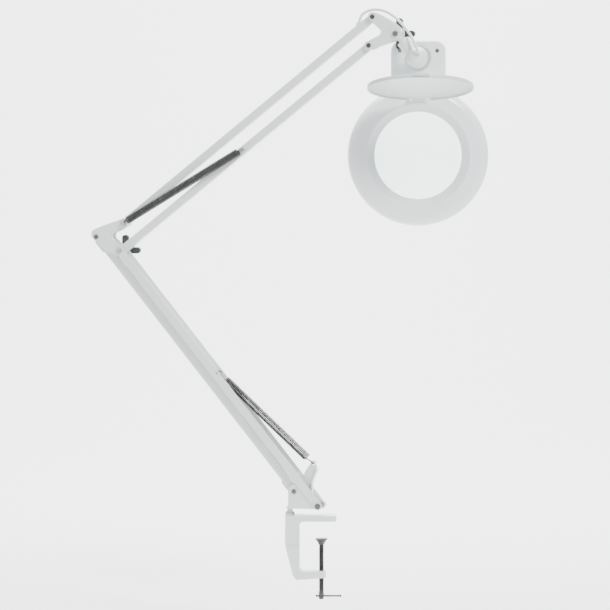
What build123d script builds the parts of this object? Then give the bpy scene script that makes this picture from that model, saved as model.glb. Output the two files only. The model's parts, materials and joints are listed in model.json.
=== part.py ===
from build123d import *
from math import asin, cos, degrees, pi, radians, sin, tan
import os

# A bench-clamp magnifier lamp: a C-clamp, two spring-balanced parallelogram arms and a round lamp
# head with a 5 inch lens, a ring tube and a flip-up lid.
# Row frame, millimetres: the origin is where the clamp screw's axis meets the clamp's bench seat,
# +Z is up, +X points from the clamp's spine out over the bench and -Y is the user's side of the lens.
# The arms lie in one upright plane that stands swung about the swivel pin. Places in that plane are
# (u, v) pairs, u to the right of the swivel axis and v up, and "front" is the distance towards the user.

# ---- driving dimensions: the whole --------------------------------------------------------------
THROAT = 44.0             # clamp screw axis to swivel axis
ARM_SWING = 14.0          # degrees the arm plane is swung towards the user
LOWER_ARM = 457.0         # pivot to pivot
UPPER_ARM = 462.0
PIVOT_SPACING = 40.0      # between the two pivots of every pair
LOWER_ANGLE = 129.15      # degrees above the horizontal, to the right = 0
UPPER_ANGLE = 38.7
BASE_PAIR_ANGLE = -29.6   # from the link pivot to the main pivot
TOP_PAIR_ANGLE = 82.7     # from the main pivot to the link pivot of the upper arm
BASE_PAIR_MIDDLE = (25.75, 32.4)
TILT_REACH, TILT_REACH_ANGLE = 41.2, 23.1     # top main pivot to tilt bolt

# ---- driving dimensions: fits -------------------------------------------------------------------
FIT = 0.05                # radial clearance of a turning pin
SLACK = 0.15              # radial clearance of the last pivot of each parallelogram
GAP = 0.2                 # between faces that pass each other
RUN = 0.3                 # between curved faces that pass each other

# ---- driving dimensions: arms -------------------------------------------------------------------
BAR_WIDTH, BAR_DEPTH, BAR_WALL = 11.0, 12.0, 1.2
CHANNEL_WIDTH, CHANNEL_DEPTH, CHANNEL_WALL = 11.4, 25.0, 1.5
WEB_START, WEB_END = 70.0, 18.0     # bare flange lengths at the base and elbow ends
PLATE = 1.8
PIVOT_R, RIVET_R, HEAD_R, RIVET_HEAD_R, WASHER_R = 3.0, 2.5, 4.0, 3.4, 5.0
RIVET_HEAD, BOLT_HEAD, NUT_TALL, NUT_ACROSS = 1.5, 2.4, 3.0, 10.0
CHANNEL_OUT = CHANNEL_DEPTH / 2
CHANNEL_IN = CHANNEL_OUT - CHANNEL_WALL
PLATE_OUT = CHANNEL_IN - GAP
PLATE_IN = PLATE_OUT - PLATE
BAR_OUT = BAR_DEPTH / 2
EAR_R = 6.3                                   # round ends of the brackets' plates
NOTCH_R, NOTCH_HALF_ANGLE, NOTCH_DEPTH = 5.8, 34.0, 19.0
LIP_WALL, LIP_DEPTH = 1.4, 2.7                # the lip bent in round a notch's tip
KNOB_R, LOBE_R, KNOB_THICK, HUB_R, HUB_TALL = 22.0, 4.6, 8.0, 7.5, 1.6

# ---- driving dimensions: clamp ------------------------------------------------------------------
CLAMP_WIDTH, WAIST_WIDTH, WAIST_TOP, SEAT_THICKNESS = 32.0, 26.0, -32.0, 8.0
SPINE_OUT, SPINE_IN = -51.0, -30.5            # outer and inner faces of the clamp's spine
TOP_TIP, LOW_TIP, LOW_TOP, LOW_BOTTOM = 21.0, 6.5, -71.0, -80.0
BOSS_R, BOSS_TOP = 6.6, 10.5
PIN_R, BUSH_WALL, BUSH_BOTTOM = 4.0, 1.2, -28.0
SCREW_R, SCREW_BOTTOM, FOOT_BOTTOM, FOOT_TOP, FOOT_R = 3.6, -111.3, -34.0, -25.2, 8.6
NOSE_R, NOSE_TOP = 2.2, -28.0                 # the screw's reduced end inside the foot
TOMMY_Z, TOMMY_R, TOMMY_LEFT, TOMMY_RIGHT = -106.7, 1.3, -8.0, 28.3

# ---- driving dimensions: lamp head --------------------------------------------------------------
HEAD_X, RING_Z = 135.0, 513.0
RING_R, RING_EDGE, RING_FRONT, RING_BACK = 98.3, 14.0, 14.0, -28.0
SHELL = 2.5
RING_SPLIT, BOX_SPLIT = -6.0, -8.0            # where the front and rear mouldings meet
CONE_RIM_R, LENS_OPENING_R = 72.0, 61.0
LENS_R, LENS_EDGE, LENS_BULGE, LENS_FRONT = 63.5, 4.0, 6.0, 0.8
TUBE_RING_R, TUBE_R, TUBE_FRONT = 80.0, 6.3, -16.6
BOX_HALF, BOX_TOP, BOX_CORNER, BOX_FRONT = 38.1, 159.8, 14.0, 9.0
SWIVEL_UP = 136.0
LID_R, LID_SKIN, LID_RIM, LID_OPEN = 73.0, 2.2, 3.0, 102.6
HINGE_UP, HINGE_FRONT, HINGE_PIN_R, HINGE_BARREL_R = 79.0, 20.0, 1.5, 3.2
LID_TONGUE, EAR_WIDTH, EAR_TALL = 15.8, 5.4, 3.4

SWING_COS, SWING_SIN = cos(radians(ARM_SWING)), sin(radians(ARM_SWING))
os.makedirs("parts", exist_ok=True)


# ---- places and planes --------------------------------------------------------------------------
def polar(point, length, angle):
    """The point a length away from another, at an angle above the horizontal."""
    return (point[0] + length * cos(radians(angle)), point[1] + length * sin(radians(angle)))


def between(start, end, share):
    """The point a share of the way along a line."""
    return tuple(a + share * (b - a) for a, b in zip(start, end))


def arm_plane(front=0.0):
    """The arms' plane, moved towards the user."""
    origin = (-THROAT - front * SWING_SIN, -front * SWING_COS, 0)
    return Plane(origin=origin, x_dir=(SWING_COS, -SWING_SIN, 0), z_dir=(-SWING_SIN, -SWING_COS, 0))


def arm_point(u, v, front=0.0):
    """Row-frame point of a place in the arms' plane."""
    return arm_plane(front).from_local_coords((u, v, 0))


def bar_plane(start, angle, front=0.0):
    """The arms' plane with x along a bar from its first pivot and y to the bar's left."""
    run = (cos(radians(angle)) * SWING_COS, -cos(radians(angle)) * SWING_SIN, sin(radians(angle)))
    return Plane(origin=arm_point(*start, front), x_dir=run, z_dir=(-SWING_SIN, -SWING_COS, 0))


def head_plane(front=0.0):
    """A plane across the head, x to the right and y up from the ring's centre."""
    return Plane(origin=(HEAD_X, -front, RING_Z), x_dir=(1, 0, 0), z_dir=(0, -1, 0))


def ring_section(angle=0.0):
    """The plane that holds the ring's section at an angle round it, x outwards and y to the front."""
    a = radians(angle)
    return Plane(origin=(HEAD_X, 0, RING_Z), x_dir=(cos(a), 0, sin(a)), z_dir=(sin(a), 0, -cos(a)))


def hinge_section(left, up, front):
    """A plane square to the head's width, x to the rear and y up, at a place on the head."""
    return Plane(origin=(HEAD_X + left, -front, RING_Z + up), x_dir=(0, 1, 0), z_dir=(1, 0, 0))


def lid_plane(out=0.0):
    """The open lid's plane: y runs from its centre to the hinge axis, z out of its top."""
    lean = (0, -cos(radians(LID_OPEN)), sin(radians(LID_OPEN)))
    reach = (0, -sin(radians(LID_OPEN)), -cos(radians(LID_OPEN)))
    hinge = (HEAD_X, -HINGE_FRONT, RING_Z + HINGE_UP)
    origin = tuple(h + HINGE_UP * r + out * n for h, r, n in zip(hinge, reach, lean))
    return Plane(origin=origin, x_dir=(1, 0, 0), z_dir=lean)


RING_AXIS = Axis((HEAD_X, 0, RING_Z), (0, -1, 0))
BASE_LINK = polar(BASE_PAIR_MIDDLE, -PIVOT_SPACING / 2, BASE_PAIR_ANGLE)
BASE_MAIN = polar(BASE_PAIR_MIDDLE, PIVOT_SPACING / 2, BASE_PAIR_ANGLE)
ELBOW_MAIN = polar(BASE_MAIN, LOWER_ARM, LOWER_ANGLE)
ELBOW_LINK = polar(BASE_LINK, LOWER_ARM, LOWER_ANGLE)
ELBOW_TOP = polar(ELBOW_MAIN, PIVOT_SPACING, TOP_PAIR_ANGLE)
TOP_MAIN = polar(ELBOW_MAIN, UPPER_ARM, UPPER_ANGLE)
TOP_LINK = polar(TOP_MAIN, PIVOT_SPACING, TOP_PAIR_ANGLE)
TILT = polar(TOP_MAIN, TILT_REACH, TILT_REACH_ANGLE)


# ---- repeated shapes ----------------------------------------------------------------------------
def finish(builder, label):
    """Labels a finished piece and writes it as its own file."""
    builder.part.label = label
    export_step(builder.part, f"parts/{label}.step")


def turned(points, steps):
    """A pin at each point, of coaxial (radius, back, front) steps across the arms' plane."""
    with BuildPart() as pins:
        for radius, back, front in steps:
            with BuildSketch(arm_plane(back)):
                with Locations(*points):
                    Circle(radius)
            extrude(amount=front - back)
    return pins


def washers(points):
    """A pair of flat rings round each pivot, between the bar's ends and the plates."""
    with BuildPart() as rings:
        for back in (BAR_OUT + GAP / 2, GAP / 2 - PLATE_IN):
            with BuildSketch(arm_plane(back)):
                with Locations(*points):
                    Circle(WASHER_R)
                    Circle(PIVOT_R + FIT, mode=Mode.SUBTRACT)
            extrude(amount=PLATE_IN - BAR_OUT - GAP)
    return rings


def upright_pin(radius, low, high):
    """A round pin on the swivel axis between two heights."""
    with BuildPart() as pin:
        with BuildSketch(Plane.XY.offset(low)):
            with Locations((-THROAT, 0)):
                Circle(radius)
        extrude(amount=high - low)
    return pin


def square_bar(start, angle, length, far_clearance):
    """A square tube whose front and rear walls run on as round ears with the pivot bores."""
    middle = length / 2
    with BuildPart() as bar:
        with BuildSketch(bar_plane(start, angle, -BAR_OUT)):
            with Locations((middle, 0)):
                SlotCenterToCenter(length, BAR_WIDTH)
        extrude(amount=BAR_DEPTH)
        with BuildSketch(bar_plane(start, angle, BAR_WALL - BAR_OUT)):
            with Locations((middle, 0)):
                Rectangle(length + BAR_WIDTH, BAR_WIDTH - 2 * BAR_WALL)
        extrude(amount=BAR_DEPTH - 2 * BAR_WALL, mode=Mode.SUBTRACT)
        with BuildSketch(bar_plane(start, angle, -BAR_OUT)):
            Circle(PIVOT_R + FIT)
            with Locations((length, 0)):
                Circle(PIVOT_R + far_clearance)
        extrude(amount=BAR_DEPTH, mode=Mode.SUBTRACT)
    return bar


def notched_plate(rounds, low, high, side, back, bores):
    """A side plate hulled round its bosses, with a rounded V notch between two pivots.

    side is +1 where the notch opens to the right of the line from low to high, -1 to the left.
    The notch's tip has a lip that is bent towards the arms' mid-plane.
    """
    facing = TOP_PAIR_ANGLE - 90 * side
    apex = polar(between(low, high, 0.5), NOTCH_DEPTH, facing + 180)
    tip_centre = polar(apex, NOTCH_R / sin(radians(NOTCH_HALF_ANGLE)), facing)
    lip_back = PLATE_IN - LIP_DEPTH if back > 0 else -PLATE_IN
    with BuildSketch(mode=Mode.PRIVATE) as notch:
        with BuildLine():
            Polyline(
                apex, polar(apex, 3 * PIVOT_SPACING, facing + NOTCH_HALF_ANGLE),
                polar(apex, 3 * PIVOT_SPACING, facing - NOTCH_HALF_ANGLE), apex,
            )
        make_face()
        fillet(notch.vertices().sort_by_distance((*apex, 0))[0], NOTCH_R)
    with BuildPart() as plate:
        with BuildSketch(arm_plane(back)):
            for centre, radius in rounds:
                with Locations(centre):
                    Circle(radius)
            make_hull()
            add(notch.sketch, mode=Mode.SUBTRACT)
            for centre, radius in bores:
                with Locations(centre):
                    Circle(radius, mode=Mode.SUBTRACT)
        extrude(amount=PLATE)
        with BuildSketch(arm_plane(lip_back)):
            with Locations(tip_centre):
                Circle(NOTCH_R + LIP_WALL)
                Circle(NOTCH_R, mode=Mode.SUBTRACT)
            with Locations(polar(tip_centre, NOTCH_R + LIP_WALL, facing)):
                Rectangle(2 * (NOTCH_R + LIP_WALL), 4 * NOTCH_R, rotation=facing, mode=Mode.SUBTRACT)
        extrude(amount=LIP_DEPTH)
    return plate


def lobe_knob(point, face):
    """A four-lobed knob behind the arms, threaded on a bolt, with its hub near a rear face."""
    rim = -face - GAP - HUB_TALL - KNOB_THICK
    with BuildPart() as knob:
        with BuildSketch(arm_plane(rim + KNOB_THICK)):
            with Locations(point):
                Circle(HUB_R)
        extrude(amount=HUB_TALL)
        with BuildSketch(arm_plane(rim)) as lobes:
            with Locations(point):
                SlotOverall(2 * KNOB_R, 2 * LOBE_R)
                SlotOverall(2 * KNOB_R, 2 * LOBE_R, rotation=90)
                Circle(HUB_R + 1.0)
            inner = [v for v in lobes.vertices() if (v - Vertex(*point, 0)).center().length < HUB_R + 2]
            fillet(inner, 2.0)
        extrude(amount=KNOB_THICK)
        fillet(knob.faces().filter_by(arm_plane()).sort_by(Axis.Y)[-1].edges(), 1.2)
        with BuildSketch(arm_plane(rim + 2.5)):
            with Locations(point):
                Circle(PIVOT_R + FIT)
        extrude(amount=KNOB_THICK + HUB_TALL, mode=Mode.SUBTRACT)
    return knob


# ---- clamp --------------------------------------------------------------------------------------
BUSH_R = PIN_R + FIT + BUSH_WALL
with BuildPart() as clamp_frame:
    with BuildSketch(Plane.XZ.offset(-CLAMP_WIDTH / 2)) as clamp_side:
        with BuildLine():
            Polyline(
                (SPINE_OUT, SEAT_THICKNESS), (TOP_TIP, SEAT_THICKNESS), (TOP_TIP, 0), (SPINE_IN, 0),
                (SPINE_IN, LOW_TOP), (LOW_TIP, LOW_TOP), (LOW_TIP, LOW_BOTTOM), (-35.6, LOW_BOTTOM - 2.7),
                (-40.0, -77.0), (-43.0, -65.5), (-49.0, -42.5), (SPINE_OUT, -30.0),
                (SPINE_OUT, SEAT_THICKNESS),
            )
        make_face()
        throat_corners = [v for v in clamp_side.vertices() if abs(v.X - SPINE_IN) < 0.01]
        fillet(throat_corners, 5.0)
    extrude(amount=CLAMP_WIDTH)
    # The casting narrows below the seat to its waist and again to the tip of its lower arm.
    with BuildSketch(Plane.XY.offset(LOW_BOTTOM - CLAMP_WIDTH)):
        with BuildLine():
            Polyline(
                (LOW_TIP + 1, 9.0), (-20.0, WAIST_WIDTH / 2), (SPINE_OUT - 1, WAIST_WIDTH / 2),
                (SPINE_OUT - 1, CLAMP_WIDTH), (LOW_TIP + 1, CLAMP_WIDTH), (LOW_TIP + 1, 9.0),
            )
        make_face()
        mirror(about=Plane.XZ)
    extrude(amount=WAIST_TOP - LOW_BOTTOM + CLAMP_WIDTH, mode=Mode.SUBTRACT)
    with BuildSketch(Plane.XY.offset(SEAT_THICKNESS)):
        with Locations((-THROAT, 0)):
            Circle(BOSS_R)
    extrude(amount=BOSS_TOP - SEAT_THICKNESS)
    with BuildSketch(Plane.XY.offset(BUSH_BOTTOM)):
        with Locations((-THROAT, 0)):
            Circle(BUSH_R)
    extrude(amount=BOSS_TOP - BUSH_BOTTOM, mode=Mode.SUBTRACT)
    with BuildSketch(Plane.XY.offset(LOW_TOP + 1)):
        Circle(SCREW_R + FIT)
    extrude(amount=LOW_BOTTOM - LOW_TOP - 6, mode=Mode.SUBTRACT)
    fillet(clamp_frame.edges().filter_by(Axis.Z).group_by(Axis.X)[-1], 6.0)
finish(clamp_frame, "clamp_frame")

# A nylon bush lines the swivel bore and carries the arms on its flange.
BUSH_FLANGE, COLLAR = 1.5, 1.6
FLANGE_TOP = BOSS_TOP + BUSH_FLANGE
with BuildPart() as swivel_bush:
    add(upright_pin(BUSH_R, BUSH_BOTTOM, BOSS_TOP).part)
    add(upright_pin(BOSS_R - GAP, BOSS_TOP, FLANGE_TOP).part)
    add(upright_pin(PIN_R + FIT, BUSH_BOTTOM + BUSH_WALL, FLANGE_TOP).part, mode=Mode.SUBTRACT)
finish(swivel_bush, "swivel_bush")

# The screw runs up through the lower arm; its reduced nose turns in the pressure foot.
with BuildPart() as clamp_screw:
    with BuildSketch(Plane.XY.offset(SCREW_BOTTOM)):
        Circle(SCREW_R)
    extrude(amount=FOOT_BOTTOM - GAP - SCREW_BOTTOM)
    chamfer(clamp_screw.faces().sort_by(Axis.Z)[0].edges(), 0.8)
    with BuildSketch(Plane.XY.offset(FOOT_BOTTOM - GAP)):
        Circle(NOSE_R)
    extrude(amount=NOSE_TOP - FOOT_BOTTOM)
    with BuildSketch(Plane.YZ.offset(-2 * SCREW_R)):
        with Locations((0, TOMMY_Z)):
            Circle(TOMMY_R + FIT)
    extrude(amount=4 * SCREW_R, mode=Mode.SUBTRACT)
finish(clamp_screw, "clamp_screw")

with BuildPart() as pressure_foot:
    with BuildSketch(Plane.XZ):
        with BuildLine():
            Polyline(
                (NOSE_R + FIT, FOOT_BOTTOM), (SCREW_R + 0.6, FOOT_BOTTOM),
                (SCREW_R + 0.6, FOOT_BOTTOM + 1.5),
                (FOOT_R, FOOT_TOP - 1.0), (FOOT_R, FOOT_TOP), (0, FOOT_TOP), (0, NOSE_TOP + GAP),
                (NOSE_R + FIT, NOSE_TOP + GAP), (NOSE_R + FIT, FOOT_BOTTOM),
            )
        make_face()
    revolve(axis=Axis.Z)
finish(pressure_foot, "pressure_foot")

TOMMY_HEAD, TOMMY_HEAD_R = 1.6, TOMMY_R + 0.6
with BuildPart() as tommy_bar:
    with BuildSketch(Plane.YZ.offset(TOMMY_LEFT)):
        with Locations((0, TOMMY_Z)):
            Circle(TOMMY_R)
    extrude(amount=TOMMY_RIGHT - TOMMY_LEFT)
    for end in (TOMMY_LEFT, TOMMY_RIGHT - TOMMY_HEAD):
        with BuildSketch(Plane.YZ.offset(end)):
            with Locations((0, TOMMY_Z)):
                Circle(TOMMY_HEAD_R)
        extrude(amount=TOMMY_HEAD)
finish(tommy_bar, "tommy_bar")

# ---- swivelling base ----------------------------------------------------------------------------
FLOOR_LOW, PIN_TAIL_R = 18.2, 2.6
FLOOR_TOP = FLOOR_LOW + PLATE
with BuildPart() as swivel_pin:
    add(upright_pin(PIN_R, BUSH_BOTTOM + BUSH_WALL + GAP, FLOOR_LOW).part)
    add(upright_pin(PIN_R + 1.2, FLANGE_TOP + GAP, FLANGE_TOP + GAP + COLLAR).part)
    add(upright_pin(PIN_TAIL_R, FLOOR_LOW, FLOOR_TOP).part)
finish(swivel_pin, "swivel_pin")

# One folded sheet: two side plates and a low heel on a floor that the swivel pin is welded into.
HEEL_LEFT, FLOOR_RIGHT, HEEL_TALL, HEEL_CORNER, SHOULDER = -0.8, 35.0, 13.5, 3.0, (14.0, 53.5)
FLOOR = Plane(origin=(-THROAT, 0, FLOOR_LOW), x_dir=(SWING_COS, -SWING_SIN, 0), z_dir=(0, 0, 1))
with BuildPart() as base_bracket:
    for back in (PLATE_IN, -PLATE_OUT):
        with BuildSketch(arm_plane(back)):
            with Locations(BASE_LINK):
                Circle(BASE_LINK[0] - HEEL_LEFT)
            with Locations(SHOULDER):
                Circle(3.0)
            with Locations(BASE_MAIN):
                Circle(EAR_R - 0.9)
            with Locations((HEEL_LEFT + 2.0, FLOOR_LOW + 2.0)):
                Circle(2.0)
            make_hull()
            with Locations(BASE_LINK):
                Circle(RIVET_R, mode=Mode.SUBTRACT)
            with Locations(BASE_MAIN):
                Circle(PIVOT_R, mode=Mode.SUBTRACT)
        extrude(amount=PLATE)
    with BuildSketch(FLOOR):
        with Locations(((HEEL_LEFT + FLOOR_RIGHT) / 2, 0)):
            Rectangle(FLOOR_RIGHT - HEEL_LEFT, 2 * PLATE_OUT)
    extrude(amount=PLATE)
    with BuildSketch(FLOOR):
        with Locations((HEEL_LEFT + PLATE / 2, 0)):
            Rectangle(PLATE, 2 * PLATE_OUT)
    extrude(amount=HEEL_TALL)
    with BuildSketch(FLOOR) as folded:
        with Locations((HEEL_LEFT + 2 * THROAT, 0)):
            Rectangle(4 * THROAT, 2 * PLATE_OUT)
        fillet(folded.vertices().group_by(Axis.X)[0], HEEL_CORNER)
    extrude(amount=2 * THROAT, mode=Mode.INTERSECT)
    with BuildSketch(FLOOR):
        Circle(PIN_R + 1.6)
    extrude(amount=PLATE)
    with BuildSketch(FLOOR):
        Circle(PIN_TAIL_R)
    extrude(amount=PLATE, mode=Mode.SUBTRACT)
finish(base_bracket, "base_bracket")

# The spring post stands on the floor between the side plates, stiffened along its right edge.
POST_SHEET, POST_RIB, POST_FOOT = 2.0, 5.0, 2.0
SPRING_HOLE, HOLE_R = (34.2, 80.8), 1.9
POST_EDGE = [(32.0, FLOOR_TOP), (33.4, 55.5), (40.1, 72.0), (38.4, 77.5)]
POST_RIB_INSIDE = [(37.1, 76.9), (38.2, 72.1), (31.7, 55.9), (30.2, FLOOR_TOP)]
with BuildPart() as spring_post:
    with BuildSketch(arm_plane(-POST_SHEET / 2)):
        with BuildLine():
            Polyline(
                (17.0, FLOOR_TOP), *POST_EDGE, (37.2, 84.4), (33.0, 85.6), (21.3, 69.3), (18.2, 55.0),
                (17.0, FLOOR_TOP),
            )
        make_face()
        with Locations(SPRING_HOLE):
            Circle(HOLE_R, mode=Mode.SUBTRACT)
    extrude(amount=POST_SHEET)
    with BuildSketch(arm_plane(-POST_RIB)):
        with BuildLine():
            Polyline(*POST_EDGE, *POST_RIB_INSIDE, POST_EDGE[0])
        make_face()
    extrude(amount=2 * POST_RIB)
    with BuildSketch(FLOOR.offset(PLATE)):
        with Locations((24.5, 0)):
            Rectangle(15.0, 2 * POST_RIB)
    extrude(amount=POST_FOOT)
finish(spring_post, "spring_post")

LINK_RIVET = [
    (PIVOT_R, GAP - PLATE_IN, PLATE_IN - GAP), (RIVET_R, -PLATE_OUT, PLATE_OUT),
    (RIVET_HEAD_R, PLATE_OUT, PLATE_OUT + RIVET_HEAD), (RIVET_HEAD_R, -PLATE_OUT - RIVET_HEAD, -PLATE_OUT),
]
finish(turned([BASE_LINK], LINK_RIVET), "base_link_rivet")
finish(washers([BASE_LINK]), "base_washers")
BOLT_FACE = CHANNEL_OUT + GAP
finish(turned([BASE_MAIN], [
    (PIVOT_R, -BOLT_FACE - NUT_TALL - 0.8, BOLT_FACE), (HEAD_R, BOLT_FACE, BOLT_FACE + BOLT_HEAD),
]), "base_bolt")
with BuildPart() as base_nut:
    with BuildSketch(arm_plane(-BOLT_FACE - NUT_TALL)):
        with Locations(BASE_MAIN):
            RegularPolygon(NUT_ACROSS / 2, 6, major_radius=False)
            Circle(PIVOT_R, mode=Mode.SUBTRACT)
    extrude(amount=NUT_TALL)
finish(base_nut, "base_nut")

# ---- lower arm ----------------------------------------------------------------------------------
# The main member is one long channel, open to its upper right, that straddles base and elbow.
ANCHOR_AT, ANCHOR_R = (235.0, -2.5), 1.5      # the spring's cross pin, along and across the channel
with BuildPart() as lower_channel:
    with BuildSketch(bar_plane(BASE_MAIN, LOWER_ANGLE, -CHANNEL_OUT)):
        with Locations((LOWER_ARM / 2, 0)):
            SlotCenterToCenter(LOWER_ARM, CHANNEL_WIDTH)
    extrude(amount=CHANNEL_DEPTH)
    with BuildSketch(bar_plane(BASE_MAIN, LOWER_ANGLE, -CHANNEL_IN)):
        with Locations((LOWER_ARM / 2, -CHANNEL_WALL)):
            Rectangle(LOWER_ARM + 2 * CHANNEL_WIDTH, CHANNEL_WIDTH)
        with Locations((WEB_START - LOWER_ARM / 4, 0), (LOWER_ARM * 5 / 4 - WEB_END, 0)):
            Rectangle(LOWER_ARM / 2, 2 * CHANNEL_WIDTH)
    extrude(amount=2 * CHANNEL_IN, mode=Mode.SUBTRACT)
    with BuildSketch(bar_plane(BASE_MAIN, LOWER_ANGLE, -CHANNEL_OUT)):
        with Locations((0, 0), (LOWER_ARM, 0)):
            Circle(PIVOT_R + FIT)
        with Locations(ANCHOR_AT):
            Circle(ANCHOR_R)
    extrude(amount=CHANNEL_DEPTH, mode=Mode.SUBTRACT)
finish(lower_channel, "lower_arm_channel")

ANCHOR = polar(polar(BASE_MAIN, ANCHOR_AT[0], LOWER_ANGLE), ANCHOR_AT[1], LOWER_ANGLE + 90)
finish(turned([ANCHOR], [(ANCHOR_R, -CHANNEL_OUT, CHANNEL_OUT)]), "spring_anchor_pin")

# Each tension spring is a round bar between its end turns, with a wire hook or eye at each end.
SPRING_R, WIRE_R, EYE_R = 6.0, 0.9, 2.8
LOWER_HOOKS = (12.5, 14.0)                    # hook lengths at the post and at the cross pin


def spring_line(start, end, front, hooks):
    """The spring's axis as the planes at its two end turns, z pointing from start to end."""
    low, high = Vector(*arm_point(*start, front)), Vector(*arm_point(*end, front))
    run = (high - low).normalized()
    across = Vector(-SWING_SIN, -SWING_COS, 0)
    return [Plane(origin=low + run * hooks[0], x_dir=across, z_dir=run),
            Plane(origin=high - run * hooks[1], x_dir=across, z_dir=run * -1)]


def coil_body(ends):
    """The close-wound turns between the two end planes."""
    with BuildPart() as body:
        with BuildSketch(ends[0]):
            Circle(SPRING_R)
        extrude(amount=(ends[1].origin - ends[0].origin).length)
    return body


def through_hook(end, length, wire_offset):
    """A hook that leaves the coil's front, passes through a cross hole and turns back behind."""
    reach = Plane(origin=end.origin, x_dir=end.z_dir * -1, z_dir=end.x_dir.cross(end.z_dir * -1) * -1)
    with BuildPart() as hook:
        with BuildLine(reach) as path:
            FilletPolyline(
                (-1.0, wire_offset), (length, wire_offset), (length, -wire_offset), (2.0, -wire_offset),
                radius=1.8,
            )
        with BuildSketch(Plane(origin=path.line @ 0, z_dir=path.line % 0)):
            Circle(WIRE_R)
        sweep()
    return hook


def eye(point, front, toward):
    """A closed wire eye round a cross pin, with a straight shank towards the coil."""
    centre = Vector(*arm_point(*point, front))
    out = (toward - centre).normalized()
    across = Vector(-SWING_SIN, -SWING_COS, 0)
    with BuildPart() as loop:
        with BuildSketch(Plane(origin=centre, x_dir=out, z_dir=out.cross(across))):
            with Locations((EYE_R, 0)):
                Circle(WIRE_R)
        revolve(axis=Axis(centre, across))
        with BuildSketch(Plane(origin=centre + out * EYE_R, z_dir=out)):
            Circle(WIRE_R)
        extrude(amount=(toward - centre).length - EYE_R + 1.0)
    return loop


lower_ends = spring_line(SPRING_HOLE, ANCHOR, 0, LOWER_HOOKS)
with BuildPart() as lower_spring:
    add(coil_body(lower_ends).part)
    add(through_hook(lower_ends[0], LOWER_HOOKS[0], POST_SHEET / 2 + WIRE_R + 1.2).part)
    add(eye(ANCHOR, 0, lower_ends[1].origin).part)
finish(lower_spring, "lower_spring")

finish(square_bar(BASE_LINK, LOWER_ANGLE, LOWER_ARM, SLACK), "lower_arm_link")

# Moulded sleeves close the slots where the lead enters and leaves the lower link.
SLEEVE_LENGTH, SLEEVE_PROUD, SLEEVE_AT = 19.0, 3.0, 13.0
with BuildPart() as lead_sleeves:
    with BuildSketch(bar_plane(BASE_LINK, LOWER_ANGLE, -SLEEVE_PROUD)):
        with Locations(*[(at, (BAR_WIDTH + SLEEVE_PROUD) / 2) for at in (SLEEVE_AT, LOWER_ARM - SLEEVE_AT)]):
            SlotOverall(SLEEVE_LENGTH, SLEEVE_PROUD)
    extrude(amount=2 * SLEEVE_PROUD)
finish(lead_sleeves, "lead_sleeves")

# ---- elbow --------------------------------------------------------------------------------------
ELBOW_ROUNDS = [
    (polar(ELBOW_LINK, 3.6, 74), 8.5), (polar(ELBOW_LINK, 14.2, 31), 9.0), (ELBOW_TOP, EAR_R),
    (ELBOW_MAIN, EAR_R), (polar(ELBOW_LINK, 21.4, -31), 9.5),
]
ELBOW_BORES = [(ELBOW_LINK, RIVET_R), (ELBOW_TOP, RIVET_R), (ELBOW_MAIN, PIVOT_R)]
with BuildPart() as elbow_front:
    add(notched_plate(ELBOW_ROUNDS, ELBOW_MAIN, ELBOW_TOP, 1, PLATE_IN, ELBOW_BORES).part)
    with BuildSketch(arm_plane(PLATE_OUT)):
        with Locations(polar(ELBOW_LINK, 15.0, 2)):
            SlotOverall(8.0, 3.6, rotation=90)
    extrude(amount=0.7)
finish(elbow_front, "elbow_plate_front")
finish(notched_plate(ELBOW_ROUNDS, ELBOW_MAIN, ELBOW_TOP, 1, -PLATE_OUT, ELBOW_BORES), "elbow_plate_rear")
finish(turned([ELBOW_LINK, ELBOW_TOP], LINK_RIVET), "elbow_rivets")
finish(washers([ELBOW_LINK, ELBOW_MAIN, ELBOW_TOP]), "elbow_washers")
KNOB_THREAD = HUB_TALL + KNOB_THICK - 3.5
finish(turned([ELBOW_MAIN], [
    (PIVOT_R, -CHANNEL_OUT - GAP - KNOB_THREAD, BOLT_FACE), (HEAD_R, BOLT_FACE, BOLT_FACE + BOLT_HEAD),
]), "elbow_bolt")
finish(lobe_knob(ELBOW_MAIN, CHANNEL_OUT), "elbow_knob")

# ---- upper arm ----------------------------------------------------------------------------------
UPPER_SPRING_FRONT = PLATE_OUT + RIVET_HEAD + RUN + WIRE_R
STUD_AT, STUD_R, STUD_HEAD_R, STUD_COLLAR_R = 229.5, 1.7, 3.4, 3.0
STUD = polar(ELBOW_MAIN, STUD_AT, UPPER_ANGLE)
STUD_HEAD = UPPER_SPRING_FRONT + WIRE_R + RUN
with BuildPart() as upper_main:
    add(square_bar(ELBOW_MAIN, UPPER_ANGLE, UPPER_ARM, SLACK).part)
    with BuildSketch(arm_plane(0)):
        with Locations(STUD):
            Circle(STUD_R)
    extrude(amount=BAR_DEPTH, mode=Mode.SUBTRACT)
finish(upper_main, "upper_arm_bar")
finish(turned([STUD], [
    (STUD_R, BAR_OUT - 2 * BAR_WALL, STUD_HEAD), (STUD_COLLAR_R, BAR_OUT, UPPER_SPRING_FRONT - WIRE_R - GAP),
    (STUD_HEAD_R, STUD_HEAD, STUD_HEAD + RIVET_HEAD),
]), "spring_stud")
finish(turned([ELBOW_TOP], [
    (STUD_R, PLATE_OUT + RIVET_HEAD, STUD_HEAD), (STUD_HEAD_R, STUD_HEAD, STUD_HEAD + RIVET_HEAD),
]), "spring_screw")

UPPER_HOOKS = (7.4, 5.0)
upper_ends = spring_line(ELBOW_TOP, STUD, UPPER_SPRING_FRONT, UPPER_HOOKS)
with BuildPart() as upper_spring:
    add(coil_body(upper_ends).part)
    add(eye(ELBOW_TOP, UPPER_SPRING_FRONT, upper_ends[0].origin).part)
    add(eye(STUD, UPPER_SPRING_FRONT, upper_ends[1].origin).part)
finish(upper_spring, "upper_spring")

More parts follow.
